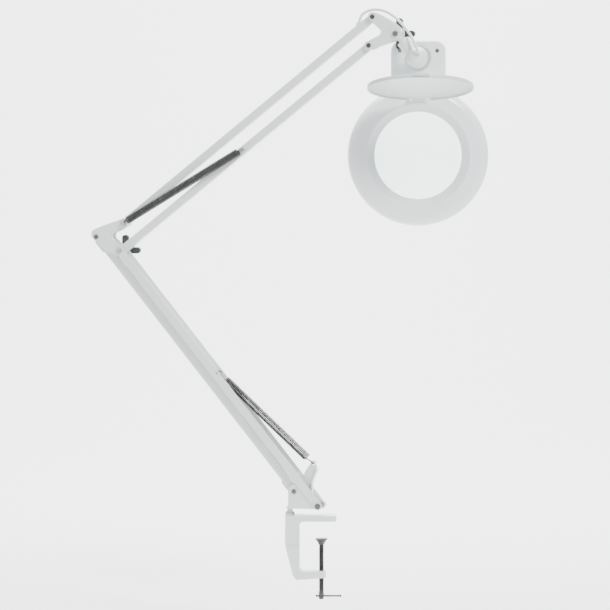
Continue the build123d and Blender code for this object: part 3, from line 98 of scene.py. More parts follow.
@dataclass(frozen=True)
class Finish:
    """One real material with the way that its surface was made.

    Attributes:
        slot: The record's material slot.
        making: How the surface was made.
        colour: sRGB hex of the surface.
        shade: sRGB hex that the slow drift of tone runs to.
        roughness: Middle roughness.
        swing: How far the roughness drifts each way.
        grain: Width of the fine relief.
        relief: Height of the fine relief.
        drift: Width of the slow drift of tone and gloss.
        metallic: 1 for bare metal.
        coat: Weight of a clear glossy layer.
        coat_roughness: Roughness of that layer.
        transmission: 1 for clear glass.
        subsurface: Weight of the light that spreads inside a milky plastic.
        stretch: Pattern scale along x, y and z, for a direction in the surface.
    """

    slot: str
    making: Making
    colour: str
    shade: str
    roughness: float
    swing: float = 0.04
    grain: float = 1.2
    relief: float = 0.01
    drift: float = 45.0
    metallic: float = 0.0
    coat: float = 0.0
    coat_roughness: float = 0.1
    transmission: float = 0.0
    subsurface: float = 0.0
    stretch: tuple[float, float, float] = (1.0, 1.0, 1.0)

    def material(self) -> bpy.types.Material:
        """Makes the finish's material, once.

        Returns:
            The material that carries this finish's slot name.
        """
        known = bpy.data.materials.get(f"{self.slot}_finish")
        if known:
            return known
        material = bpy.data.materials.new(f"{self.slot}_finish")
        material.use_nodes = True
        tree = material.node_tree
        tree.nodes.clear()
        place = add_node(tree, "ShaderNodeTexCoord")
        turned = add_node(
            tree, "ShaderNodeMapping", {"Scale": self.stretch}, {"Vector": place.outputs["Object"]}
        )
        vector = turned.outputs["Vector"]
        slow = add_node(
            tree, "ShaderNodeTexNoise", {"Scale": 1.0 / (self.drift * MM), "Detail": DRIFT_DETAIL},
            {"Vector": vector},
        )
        fine = self.fine_pattern(tree, vector)
        tone = add_node(
            tree, "ShaderNodeMix",
            {"data_type": "RGBA", 6: linear(self.colour), 7: linear(self.shade)},
            {0: slow.outputs[0]},
        )
        gloss = add_node(
            tree, "ShaderNodeMapRange",
            {
                "From Min": DRIFT_LOW, "From Max": DRIFT_HIGH,
                "To Min": self.roughness - self.swing, "To Max": self.roughness + self.swing,
            },
            {"Value": slow.outputs[0]},
        )
        bump = add_node(
            tree, "ShaderNodeBump", {"Strength": 1.0, "Distance": self.relief * MM},
            {"Height": fine},
        )
        shader = add_node(
            tree, "ShaderNodeBsdfPrincipled",
            {
                "Metallic": self.metallic, "Coat Weight": self.coat,
                "Coat Roughness": self.coat_roughness, "Transmission Weight": self.transmission,
                "Subsurface Weight": self.subsurface,
            },
            {
                "Base Color": tone.outputs[2], "Roughness": gloss.outputs[0],
                "Normal": bump.outputs[0],
            },
        )
        add_node(tree, "ShaderNodeOutputMaterial", {}, {"Surface": shader.outputs[0]})
        return material

    def fine_pattern(
        self, tree: bpy.types.NodeTree, vector: bpy.types.NodeSocket
    ) -> bpy.types.NodeSocket:
        """Lays the fine relief of the way the surface was made.

        Args:
            tree: The material's nodes.
            vector: Coordinates of the surface.

        Returns:
            The socket that carries the relief's height.
        """
        scale = 1.0 / (self.grain * MM)
        if self.making is Making.STACKED:
            sheets = add_node(
                tree, "ShaderNodeTexWave",
                {"Scale": scale / WAVE_RATIO, "Distortion": WAVE_DISTORTION}, {"Vector": vector},
            )
            return sheets.outputs["Fac"]
        detail = DRAWN_DETAIL if self.making is Making.DRAWN else PLAIN_DETAIL
        noise = add_node(
            tree, "ShaderNodeTexNoise", {"Scale": scale, "Detail": detail}, {"Vector": vector}
        )
        return noise.outputs[0]


def add_node(
    tree: bpy.types.NodeTree,
    kind: str,
    settings: dict[Any, Any] | None = None,
    links: dict[Any, bpy.types.NodeSocket] | None = None,
) -> bpy.types.Node:
    """Adds one shader node.

    Args:
        tree: Where the node goes.
        kind: The node's type.
        settings: Values by input name or number, or by the node's own lower-case setting.
        links: Sockets that feed this node's inputs, by input name or number.

    Returns:
        The new node.
    """
    node = tree.nodes.new(kind)
    for name, value in (settings or {}).items():
        if isinstance(name, str) and name == name.lower():
            setattr(node, name, value)
        else:
            node.inputs[name].default_value = value
    for name, socket in (links or {}).items():
        tree.links.new(socket, node.inputs[name])
    return node


def linear(colour: str) -> tuple[float, float, float, float]:
    """Turns an sRGB hex colour to linear light.

    Args:
        colour: Six hex digits after a hash.

    Returns:
        Red, green and blue in linear light, and an alpha of 1.
    """
    parts = [int(colour[i:i + 2], 16) / 255 for i in (1, 3, 5)]
    red, green, blue = (p / 12.92 if p <= 0.04045 else ((p + 0.055) / 1.055) ** 2.4 for p in parts)
    return red, green, blue, 1.0


# Baked enamel on folded sheet: a soft orange peel about 1.5 mm across breaks up long reflections.
ENAMEL = Finish(
    "white_enamel", Making.SPRAYED, "#DDE3DF", "#D6DDD8", 0.34, grain=1.5, relief=0.012, coat=0.25,
    coat_roughness=0.18,
)
# Baked enamel over a casting: the casting's skin telegraphs through, so the peel is coarser and
# deeper.
CAST_ENAMEL = Finish(
    "cast_enamel", Making.SPRAYED, "#DCE2DE", "#D2D9D5", 0.4, 0.06, grain=2.6, relief=0.05,
    coat=0.2, coat_roughness=0.22,
)
# Moulded ABS from a polished mould: almost flat, so it keeps long clean highlights round the ring.
ABS = Finish(
    "white_plastic", Making.MOULDED, "#E6EBEC", "#E1E7E9", 0.2, 0.03, grain=3.0, relief=0.006,
    drift=80.0,
)
# The same plastic in the thin lid, greyed by painted shade, with more of a satin face.
LID_ABS_PAINTED_SHADE = Finish(
    "lid_plastic", Making.MOULDED, "#D2D8D6", "#CAD1CF", 0.34, 0.04, grain=2.0, relief=0.004,
    drift=60.0,
)
# Phenolic knob from a spark-eroded mould: a fine even grain that spreads the highlight.
PHENOLIC = Finish(
    "dark_knob", Making.MOULDED, "#2B3235", "#353D40", 0.46, 0.06, grain=0.7, relief=0.02,
    drift=14.0,
)
# Japanned spring wire: black lacquer over steel gives each turn a narrow bright line.
JAPAN = Finish(
    "black_spring", Making.SPRAYED, "#141516", "#1D1F20", 0.34, 0.05, grain=0.9, relief=0.008,
    drift=20.0, coat=0.4, coat_roughness=0.2,
)
# Blackened steel: turned, oiled, with a dull broken sheen.
BLACKED_STEEL = Finish(
    "dark_steel", Making.DRAWN, "#5B5A57", "#474644", 0.38, 0.08, grain=0.4, relief=0.012,
    drift=12.0, metallic=1.0, stretch=(1.0, 1.0, 6.0),
)
# Nickel plate over turned steel: bright, with faint turning marks.
NICKEL = Finish(
    "bright_steel", Making.DRAWN, "#C8CBCC", "#B9BDBE", 0.2, 0.05, grain=0.4, relief=0.004,
    drift=9.0, metallic=1.0, stretch=(1.0, 5.0, 1.0),
)
# Oiled steel rivets: darker than nickel, with a broken sheen.
OILED_STEEL = Finish(
    "dark_rivet", Making.DRAWN, "#777672", "#5E5D5A", 0.33, 0.08, grain=0.5, relief=0.01, drift=5.0,
    metallic=1.0,
)
# Cast nylon washers: waxy, slightly warm, light enters their edges.
NYLON = Finish(
    "washer_nylon", Making.MOULDED, "#D8D7CE", "#CECDC3", 0.5, 0.05, grain=1.0, relief=0.01,
    drift=8.0, subsurface=0.1,
)
# Soft PVC sheath: extruded, with a low even sheen.
PVC = Finish(
    "lead_sheath", Making.MOULDED, "#DDE1DE", "#D3D8D5", 0.44, 0.05, grain=1.4, relief=0.012,
    drift=18.0,
)
# Grey nylon pieces round the swivel and the switch: matt from a textured mould.
GREY_NYLON = Finish(
    "dark_plastic", Making.MOULDED, "#4A5154", "#42494B", 0.42, 0.05, grain=0.6, relief=0.012,
    drift=15.0,
)
# Light grey ABS of the swivel's disc: satin, a tone below the box that it turns on.
GREY_ABS = Finish(
    "grey_plastic", Making.MOULDED, "#A9B1B3", "#A0A9AB", 0.34, 0.05, grain=1.2, relief=0.006,
    drift=25.0,
)
# Crown glass: ground and polished, clear with the faint green of its iron.
GLASS = Finish(
    "optical_glass", Making.POLISHED, "#F4FAF8", "#F2F9F7", 0.015, 0.005, grain=20.0, relief=0.0,
    transmission=1.0,
)
# Phosphor-coated tube: the coat behind the glass wall is chalk white under a clean gloss.
PHOSPHOR = Finish(
    "phosphor_tube", Making.POLISHED, "#F1F3EE", "#ECEEE8", 0.2, 0.03, grain=2.0, relief=0.004,
    coat=0.5,
)
# Opal acrylic sheet: milky, with a satin face.
OPAL = Finish(
    "diffuser_sheet", Making.MOULDED, "#EEF1EF", "#E8ECEA", 0.42, 0.04, grain=1.0, relief=0.006,
    subsurface=0.35,
)
# White reflector paint: flat and bright.
REFLECTOR = Finish(
    "reflector_paint", Making.SPRAYED, "#F2F3F1", "#ECEDEB", 0.55, 0.05, grain=1.2, relief=0.015
)
# Varnished laminations: half-millimetre sheets show as ribs.
LAMINATED = Finish(
    "core_steel", Making.STACKED, "#4B4A49", "#3D3C3B", 0.45, 0.06, grain=0.5, relief=0.08,
    drift=20.0, coat=0.3, stretch=(1.0, 0.2, 0.2),
)


# ---- places -------------------------------------------------------------------------------------
def pivot(joint: str) -> Vector:
    """The place of a joint of the frame, in metres."""
    return Vector(next(j["pos_m"] for j in frame["joints"] if j["name"] == joint))


def centre(node: str) -> Vector:
    """The middle of a frame node's box, in metres."""
    low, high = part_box(node)
    return (low + high) / 2


@dataclass(frozen=True)
class ArmPlane:
    """The upright plane that holds both arms.

    Attributes:
        swivel: A point on the swivel axis, in metres.
        across: The plane's normal, towards the rear.
    """

    swivel: Vector
    across: Vector

    def at(self, right: float, up: float, front: float = 0.0) -> Vector:
        """Places a point of the arms.

        Args:
            right: Distance to the right of the swivel axis.
            up: Height above the bench seat.
            front: Distance towards the user.

        Returns:
            The point in metres.
        """
        along = Vector((self.across.y, -self.across.x, 0.0))
        return self.swivel + (along * right - self.across * front + Vector((0.0, 0.0, up))) * MM


ARMS = ArmPlane(
    pivot("base_swivel"),
    Vector(next(j["axis"] for j in frame["joints"] if j["name"] == "lower_arm")),
)


# ---- making pieces ------------------------------------------------------------------------------
WIRE_ROUNDNESS, LEAD_ROUNDNESS = 1, 4     # the curve's bevel resolution
LEAD_ORDER, LEAD_STEPS = 3, 10            # smoothness of the lead's line, and steps between points


def place_piece(
    name: str, shape: bmesh.types.BMesh, finish: Finish, smooth: bool = True
) -> bpy.types.Object:
    """Turns a finished shape into an object at the origin.

    Args:
        name: The object's name.
        shape: The shape in metres, in its place; it is freed.
        finish: What it is made of.
        smooth: Whether its faces shade smoothly.

    Returns:
        The new object, with its finish and slot.
    """
    for face in shape.faces:
        face.smooth = smooth
    mesh = bpy.data.meshes.new(name)
    shape.to_mesh(mesh)
    shape.free()
    piece = bpy.data.objects.new(name, mesh)
    bpy.context.scene.collection.objects.link(piece)
    mesh.materials.append(finish.material())
    return piece


def merged_copy(node: str) -> bmesh.types.BMesh:
    """Copies a frame node's mesh, joins its loose triangles and clears its flat faces of them.

    Args:
        node: The frame node.

    Returns:
        The closed shape.
    """
    shape = bmesh.new()
    shape.from_mesh(frame["nodes"][node].data)
    bmesh.ops.remove_doubles(shape, verts=shape.verts, dist=ONE_POINT)
    bmesh.ops.dissolve_degenerate(shape, edges=shape.edges, dist=ONE_POINT)
    bmesh.ops.dissolve_limit(
        shape, angle_limit=FLAT, use_dissolve_boundaries=False, verts=shape.verts, edges=shape.edges
    )
    return shape


def round_wire(name: str, points: list[Vector], radius: float, turned: bool) -> bmesh.types.BMesh:
    """Draws a round wire or lead along points.

    Args:
        name: A name for the curve while it lasts.
        points: The route in metres.
        radius: The wire's radius.
        turned: True for wire bent at every point, False for a lead that takes its own smooth line.

    Returns:
        The wire's closed shape.
    """
    curve = bpy.data.curves.new(name, "CURVE")
    curve.dimensions = "3D"
    curve.bevel_depth = radius * MM
    curve.bevel_resolution = WIRE_ROUNDNESS if turned else LEAD_ROUNDNESS
    curve.use_fill_caps = True
    line = curve.splines.new("POLY" if turned else "NURBS")
    line.points.add(len(points) - 1)
    for control, point in zip(line.points, points):
        control.co = (*point, 1.0)
    if not turned:
        line.order_u = LEAD_ORDER
        line.use_endpoint_u = True
        line.resolution_u = LEAD_STEPS
    holder = bpy.data.objects.new(name, curve)
    bpy.context.scene.collection.objects.link(holder)
    bpy.context.view_layer.update()
    mesh = bpy.data.meshes.new_from_object(
        holder.evaluated_get(bpy.context.evaluated_depsgraph_get())
    )
    bpy.data.objects.remove(holder)
    bpy.data.curves.remove(curve)
    shape = bmesh.new()
    shape.from_mesh(mesh)
    bpy.data.meshes.remove(mesh)
    bmesh.ops.remove_doubles(shape, verts=shape.verts, dist=ONE_POINT)
    bmesh.ops.recalc_face_normals(shape, faces=shape.faces)
    return shape


@dataclass(frozen=True)
class Part:
    """A rigid piece that keeps the frame's shape.

    Attributes:
        node: The frame node.
        finish: What it is made of.
        edge: Radius of its softened edges; 0 leaves the frame's own mesh on show.
    """

    node: str
    finish: Finish
    edge: float = 0.0

    def make(self, body: str) -> bpy.types.Object:
        """Makes the piece ready to be seen.

        Args:
            body: The body that it rides.

        Returns:
            The object that is shown.
        """
        shown = frame["nodes"][self.node]
        if self.edge:
            shown = self.soften(body)
        else:
            shown.data.materials.clear()
            shown.data.materials.append(self.finish.material())
        log.info("%s: %s, %d faces", self.node, self.finish.making.value, len(shown.data.polygons))
        return shown

    def soften(self, body: str) -> bpy.types.Object:
        """Rounds the crisp edges of a merged copy, as paint, plating or a mould leaves them.

        Args:
            body: The body that the copy rides.

        Returns:
            The copy, which stands for the frame node.
        """
        shape = merged_copy(self.node)
        edges = [e for e in shape.edges if e.is_manifold and e.calc_face_angle(0.0) > CRISP]
        bmesh.ops.bevel(
            shape, geom=edges, offset=self.edge * MM, offset_type="OFFSET", segments=2, profile=0.5,
            affect="EDGES", material=-1, clamp_overlap=False,
        )
        piece = place_piece(f"{self.node}_soft", shape, self.finish)
        even = piece.modifiers.new("even_normals", "WEIGHTED_NORMAL")
        even.mode = "FACE_AREA"
        even.weight = NORMAL_WEIGHT
        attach(piece, body)
        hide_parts(self.node)
        return piece


@dataclass
class SubAssembly:
    """Pieces of the lamp that are fixed to each other.

    Attributes:
        parts: Rigid pieces that keep the frame's shape, by the body that they ride.
    """

    parts: dict[str, list[Part]] = field(default_factory=dict)

    def build(self) -> None:
        """Makes the rigid pieces."""
        for body, parts in self.parts.items():
            for part in parts:
                part.make(body)

    def dress(self) -> None:
        """Makes the pieces that the frame only stands in for."""


# ---- clamp --------------------------------------------------------------------------------------
@dataclass
class Clamp(SubAssembly):
    """The cast C-clamp with its screw, foot and tommy bar.

    Attributes:
        pitch: Thread pitch, crest to crest.
        crest_radius: Radius over the thread.
        root_radius: Radius under the thread.
        thread_low: Height where the thread starts, above the cross hole.
        thread_high: Height where it ends, under the pressure foot.
        nose_radius: Radius of the reduced end that turns in the foot.
        nose_high: Height of the nose's tip.
        thread_steps: Flats in one turn of the thread.
        core_sides: Sides of the round core.
        flank: Half the tooth's width at its root, as a share of the pitch.
        crest: Half the width of its crest.
        sunk: How far its root is sunk into the core.
    """

    parts: dict[str, list[Part]] = field(default_factory=lambda: {
        "clamp": [Part("clamp_frame", CAST_ENAMEL, 0.5), Part("swivel_bush", NYLON, 0.2)],
        "foot": [Part("pressure_foot", BLACKED_STEEL, 0.25)],
        "tommy": [Part("tommy_bar", BLACKED_STEEL, 0.25)],
    })
    pitch: float = 1.25
    crest_radius: float = 3.6
    root_radius: float = 2.95
    thread_low: float = -100.0
    thread_high: float = -34.4
    nose_radius: float = 2.2
    nose_high: float = -28.0
    thread_steps: int = 20
    core_sides: int = 40
    flank: float = 0.44
    crest: float = 0.08
    sunk: float = 0.1

    def dress(self) -> None:
        """Cuts the clamp screw's thread."""
        turns = int((self.thread_high - self.thread_low) / self.pitch) - 1
        screw = merged_copy("clamp_screw")
        cut = bmesh.ops.bisect_plane(
            screw, geom=screw.verts[:] + screw.edges[:] + screw.faces[:], dist=ON_PLANE,
            plane_co=(0.0, 0.0, self.thread_low * MM), plane_no=(0.0, 0.0, 1.0), clear_outer=True,
        )
        rim = [e for e in cut["geom_cut"] if isinstance(e, bmesh.types.BMEdge)]
        bmesh.ops.contextual_create(screw, geom=rim)
        for radius, low, high in (
            (self.root_radius, self.thread_low, self.thread_high),
            (self.nose_radius, self.thread_high, self.nose_high),
        ):
            bmesh.ops.create_cone(
                screw, cap_ends=True, segments=self.core_sides, radius1=radius * MM,
                radius2=radius * MM, depth=(high - low) * MM,
                matrix=Matrix.Translation((0.0, 0.0, (low + high) / 2 * MM)),
            )
        start = self.thread_low + self.pitch / 2
        half = self.pitch * self.flank
        root = self.root_radius - self.sunk
        section = [
            screw.verts.new((radius * MM, 0.0, (start + up) * MM))
            for radius, up in (
                (root, -half), (self.crest_radius, -self.crest), (self.crest_radius, self.crest),
                (root, half),
            )
        ]
        tooth = screw.faces.new(section)
        bmesh.ops.spin(
            screw, geom=[tooth, *tooth.edges, *section], cent=(0.0, 0.0, 0.0), axis=(0.0, 0.0, 1.0),
            dvec=(0.0, 0.0, self.pitch / self.thread_steps * MM), angle=math.tau * turns,
            steps=self.thread_steps * turns,
            use_merge=False, use_duplicate=False,
        )
        bmesh.ops.recalc_face_normals(screw, faces=screw.faces)
        piece = place_piece("clamp_screw_threaded", screw, BLACKED_STEEL, smooth=False)
        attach(piece, "screw")
        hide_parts("clamp_screw")
        log.info("clamp screw: %d turns of thread, %d faces", turns, len(piece.data.polygons))


# ---- springs ------------------------------------------------------------------------------------
@dataclass
class BalanceSpring:
    """A close-wound tension spring with a loop of its own wire at each end.

    Attributes:
        name: The spring's name.
        node: The frame node that stands in for it.
        bodies: The bodies that its two ends hang on; not used.
        ends: The middles of its two end loops' seats, in metres.
        hooks: Length from each seat to the first whole turn.
        upright: For each end, whether its loop stands across the arms' plane, as through a sheet.
        outer: Radius over the turns.
        wire: Radius of the wire.
        eye: Radius of an end loop's centre line.
        pitch: Distance between turns: a little over the wire's width, as the spring is stretched.
        tail: Degrees round an end loop at which its free tail stops.
        loop_steps: Straights in an end loop.
        turn_steps: Straights in one turn of the coil.
        opening: Turns over which the coil opens out to its full width at each end.
        opened: Straights by which it has opened at its first point.
    """

    name: str
    node: str
    bodies: tuple[str, str]
    ends: tuple[Vector, Vector]
    hooks: tuple[float, float]
    upright: tuple[bool, bool]
    outer: float = 6.0
    wire: float = 0.9
    eye: float = 2.8
    pitch: float = 2.15
    tail: float = 40.0
    loop_steps: int = 20
    turn_steps: int = 18
    opening: float = 0.6
    opened: int = 2

    def loop(self, end: int) -> list[Vector]:
        """Bends one end loop, from its free tail round to the spring's axis.

        Args:
            end: 0 for the first end, 1 for the second.

        Returns:
            Points in metres, in order towards the coil.
        """
        seat, other = self.ends[end], self.ends[1 - end]
        inward = (other - seat).normalized()
        side = -ARMS.across if self.upright[end] else inward.cross(ARMS.across).normalized()
        middle = seat + inward * self.eye * MM if self.upright[end] else seat
        points = []
        for step in range(self.loop_steps + 1):
            angle = math.radians(self.tail + (360.0 - self.tail) * step / self.loop_steps)
            points.append(
                middle + (inward * math.cos(angle) + side * math.sin(angle)) * self.eye * MM
            )
        return points

    def route(self) -> list[Vector]:
        """Lays the wire's centre line from tail to tail.

        Returns:
            Points in metres.
        """
        first, second = self.ends
        along = (second - first).normalized()
        side = along.cross(ARMS.across).normalized()
        low = self.hooks[0]
        high = (second - first).length / MM - self.hooks[1]
        turns = round((high - low) / self.pitch)
        count = turns * self.turn_steps
        rise = self.turn_steps * self.opening
        coil = []
        for step in range(count + 1):
            angle = math.tau * step / self.turn_steps
            swell = min(1.0, (step + self.opened) / rise, (count - step + self.opened) / rise)
            out = (self.outer - self.wire) * math.sin(swell * math.pi / 2)
            reach = low + (high - low) * step / count
            around = side * math.cos(angle) - ARMS.across * math.sin(angle)
            coil.append(first + (along * reach + around * out) * MM)
        return [*self.loop(0), *coil, *reversed(self.loop(1))]

    def wind(self) -> bpy.types.Object:
        """Winds the spring between its two ends.

        Returns:
            The spring's object.
        """
        shape = round_wire(self.name, self.route(), self.wire, turned=True)
        piece = place_piece(self.name, shape, JAPAN)
        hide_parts(self.node)
        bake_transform(piece)
        log.info("%s: %d faces", self.name, len(piece.data.polygons))
        return piece


# ---- base and lower arm -------------------------------------------------------------------------
@dataclass
class SwivelBase(SubAssembly):
    """The folded bracket that turns on the clamp, with the post that the lower spring hooks on."""

    parts: dict[str, list[Part]] = field(
        default_factory=lambda: {
            "base": [
                Part("swivel_pin", ENAMEL, 0.25), Part("base_bracket", ENAMEL, 0.35),
                Part("spring_post", ENAMEL, 0.25), Part("base_link_rivet", OILED_STEEL, 0.5),
                Part("base_washers", NYLON), Part("base_bolt", OILED_STEEL, 0.5),
                Part("base_nut", OILED_STEEL, 0.4),
            ]
        }
    )


@dataclass
class LowerArm(SubAssembly):
    """The long channel, its link and the lower spring.

    Attributes:
        spring_hole: The post's hole, to the right of the swivel axis and above the seat.
        hooks: Lengths of the spring's two hooks.
    """

    parts: dict[str, list[Part]] = field(
        default_factory=lambda: {
            "lower_arm": [
                Part("lower_arm_channel", ENAMEL, 0.3), Part("spring_anchor_pin", NICKEL, 0.25)
            ],
            "lower_link": [Part("lower_arm_link", ENAMEL, 0.35), Part("lead_sleeves", NYLON, 0.4)],
        }
    )
    spring_hole: tuple[float, float] = (34.2, 80.8)
    hooks: tuple[float, float] = (12.5, 14.0)

    def dress(self) -> None:
        """Winds the lower spring."""
        ends = (ARMS.at(*self.spring_hole), centre("spring_anchor_pin"))
        BalanceSpring(
            "lower_coil_spring", "lower_spring", ("base", "lower_arm"), ends, self.hooks,
            upright=(True, False),
        ).wind()


# ---- elbow and upper arm ------------------------------------------------------------------------
@dataclass
class Elbow(SubAssembly):
    """The two notched plates, their rivets and the friction knob."""

    parts: dict[str, list[Part]] = field(default_factory=lambda: {
        "elbow": [
            Part("elbow_plate_front", ENAMEL, 0.3), Part("elbow_plate_rear", ENAMEL, 0.3),
            Part("elbow_rivets", OILED_STEEL, 0.5), Part("elbow_washers", NYLON),
            Part("elbow_bolt", NICKEL, 0.6), Part("spring_screw", NICKEL, 0.45),
        ],
        "elbow_knob": [Part("elbow_knob", PHENOLIC, 0.4)],
    })


@dataclass
class UpperArm(SubAssembly):
    """The upper bar, its link with the lead's gland, and the upper spring.

    Attributes:
        hooks: Lengths of the spring's two hooks.
    """

    parts: dict[str, list[Part]] = field(default_factory=lambda: {
        "upper_arm": [Part("upper_arm_bar", ENAMEL, 0.35), Part("spring_stud", NICKEL, 0.45)],
        "upper_link": [Part("upper_arm_link", ENAMEL, 0.35), Part("lead_gland", PVC, 0.3)],
    })
    hooks: tuple[float, float] = (7.4, 5.0)

    def dress(self) -> None:
        """Winds the upper spring in its own plane, in front of the plates."""
        middle = centre("upper_spring")
        depth = (middle - pivot("upper_link")).dot(ARMS.across) * ARMS.across
        stud = centre("spring_stud")
        stud_depth = (middle - stud).dot(ARMS.across) * ARMS.across
        ends = (pivot("upper_link") + depth, stud + stud_depth)
        BalanceSpring(
            "upper_coil_spring", "upper_spring", ("elbow", "upper_arm"), ends, self.hooks,
            upright=(False, False),
        ).wind()


# ---- top bracket, lead and knuckle --------------------------------------------------------------
@dataclass
class TopBracket(SubAssembly):
    """The folded bracket at the top of the arms with its tilt knob."""

    parts: dict[str, list[Part]] = field(
        default_factory=lambda: {
            "top": [
                Part("top_bracket", ENAMEL, 0.3), Part("top_rivets", OILED_STEEL, 0.5),
                Part("top_washers", NYLON), Part("tilt_bolt", NICKEL, 0.6),
            ],
            "tilt_knob": [Part("tilt_knob", PHENOLIC, 0.4)],
        }
    )


@dataclass
class HeadLead(SubAssembly):
    """The lead that arches from the upper link's gland to the knuckle.

    It crosses three joints, so it is one run in three lengths; each length hands over where the lead
    lies wholly with one body, so that their cut ends stay together.

    Attributes:
        radius: The lead's radius.
        route: Points to the right of the swivel axis, above the seat, and towards the user.
        hand_overs: Numbers of the route points before each hand-over.
        bodies: The bodies that the lead passes, in order.
    """

    radius: float = 2.0
    route: tuple[Point, ...] = (
        (97.9, 692.5, 0.0), (100.3, 706.0, 0.0), (109.5, 713.6, 0.0), (124.0, 716.6, 0.0),
        (139.0, 712.6, 1.0), (153.0, 703.5, 3.5), (165.5, 691.0, 7.5), (175.5, 678.5, 12.5),
        (182.5, 667.5, 17.5), (186.0, 659.6, 19.6), (186.8, 654.4, 16.8), (185.4, 652.2, 9.6),
    )
    hand_overs: tuple[int, int] = (3, 6)
    bodies: tuple[str, ...] = ("upper_link", "top", "stem", "knuckle")

    def dress(self) -> None:
        """Hangs the lead."""
        points = [ARMS.at(*place) for place in self.route]
        cuts = [
            ((points[i] + points[i + 1]) / 2, (points[i + 1] - points[i]).normalized())
            for i in self.hand_overs
        ]
        for number, (first, second) in enumerate(zip(self.bodies, self.bodies[1:])):
            shape = round_wire("lead", points, self.radius, turned=False)
            if number > 0:
                self.trim(shape, *cuts[number - 1], keep_after=True)
            if number < len(cuts):
                self.trim(shape, *cuts[number], keep_after=False)
            piece = place_piece(f"head_lead_{first}_to_{second}", shape, PVC)
            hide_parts("head_lead")
            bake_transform(piece)
            log.info("%s: %d faces", piece.name, len(piece.data.polygons))

    @staticmethod
    def trim(shape: bmesh.types.BMesh, point: Vector, run: Vector, keep_after: bool) -> None:
        """Cuts the lead square across and closes the cut end.

        Args:
            shape: The lead.
            point: A point on the cut, in metres.
            run: The lead's direction there.
            keep_after: Whether the length after the cut is the one that stays.
        """
        cut = bmesh.ops.bisect_plane(
            shape, geom=shape.verts[:] + shape.edges[:] + shape.faces[:], dist=ON_PLANE,
            plane_co=point, plane_no=run, clear_inner=keep_after, clear_outer=not keep_after,
        )
        bmesh.ops.contextual_create(
            shape, geom=[e for e in cut["geom_cut"] if isinstance(e, bmesh.types.BMEdge)]
        )
        bmesh.ops.recalc_face_normals(shape, faces=shape.faces)


@dataclass
class Knuckle(SubAssembly):
    """The stem and the ball-ended knuckle that the head hangs from."""

    parts: dict[str, list[Part]] = field(default_factory=lambda: {
        "stem": [Part("tilt_stem", ENAMEL, 0.3)],
        "knuckle": [Part("knuckle", ENAMEL, 0.5), Part("swivel_nut", NICKEL, 0.3)],
    })


# ---- lamp head ----------------------------------------------------------------------------------
@dataclass
class LampHead(SubAssembly):
    """The ring, its lens and tube, and the ballast box above them."""

    parts: dict[str, list[Part]] = field(
        default_factory=lambda: {
            "head": [
                Part("swivel_disc", GREY_ABS, 0.6), Part("ballast_box_front", ABS, 0.5),
                Part("ballast_box_rear", ABS, 0.4), Part("box_screws", NICKEL),
                Part("ballast_choke", LAMINATED), Part("starter", NICKEL, 0.3),
                Part("head_bridge", ABS), Part("ring_housing_front", ABS, 0.6),
                Part("ring_housing_rear", ABS, 0.4), Part("reflector_tray", REFLECTOR),
                Part("lamp_tube", PHOSPHOR), Part("lamp_base", NYLON), Part("tube_clips", NICKEL),
                Part("diffuser", OPAL), Part("lens", GLASS), Part("lens_retainer", GREY_NYLON),
                Part("lid_bracket", ABS, 0.25), Part("lid_hinge_pin", NICKEL),
                Part("switch_bezel", GREY_NYLON, 0.2),
            ]
        }
    )


@dataclass
class Lid(SubAssembly):
    """The round lid that folds down over the lens."""

    parts: dict[str, list[Part]] = field(
        # The lid's finish is the ring's plastic with painted shade greying its colour.
        default_factory=lambda: {"lid": [Part("lid", LID_ABS_PAINTED_SHADE, 0.5)]}
    )


@dataclass
class PowerSwitch(SubAssembly):
    """The rocker at the rear of the ballast box."""

    parts: dict[str, list[Part]] = field(default_factory=lambda: {
        "rocker": [Part("switch_rocker", GREY_NYLON, 0.3)],
    })


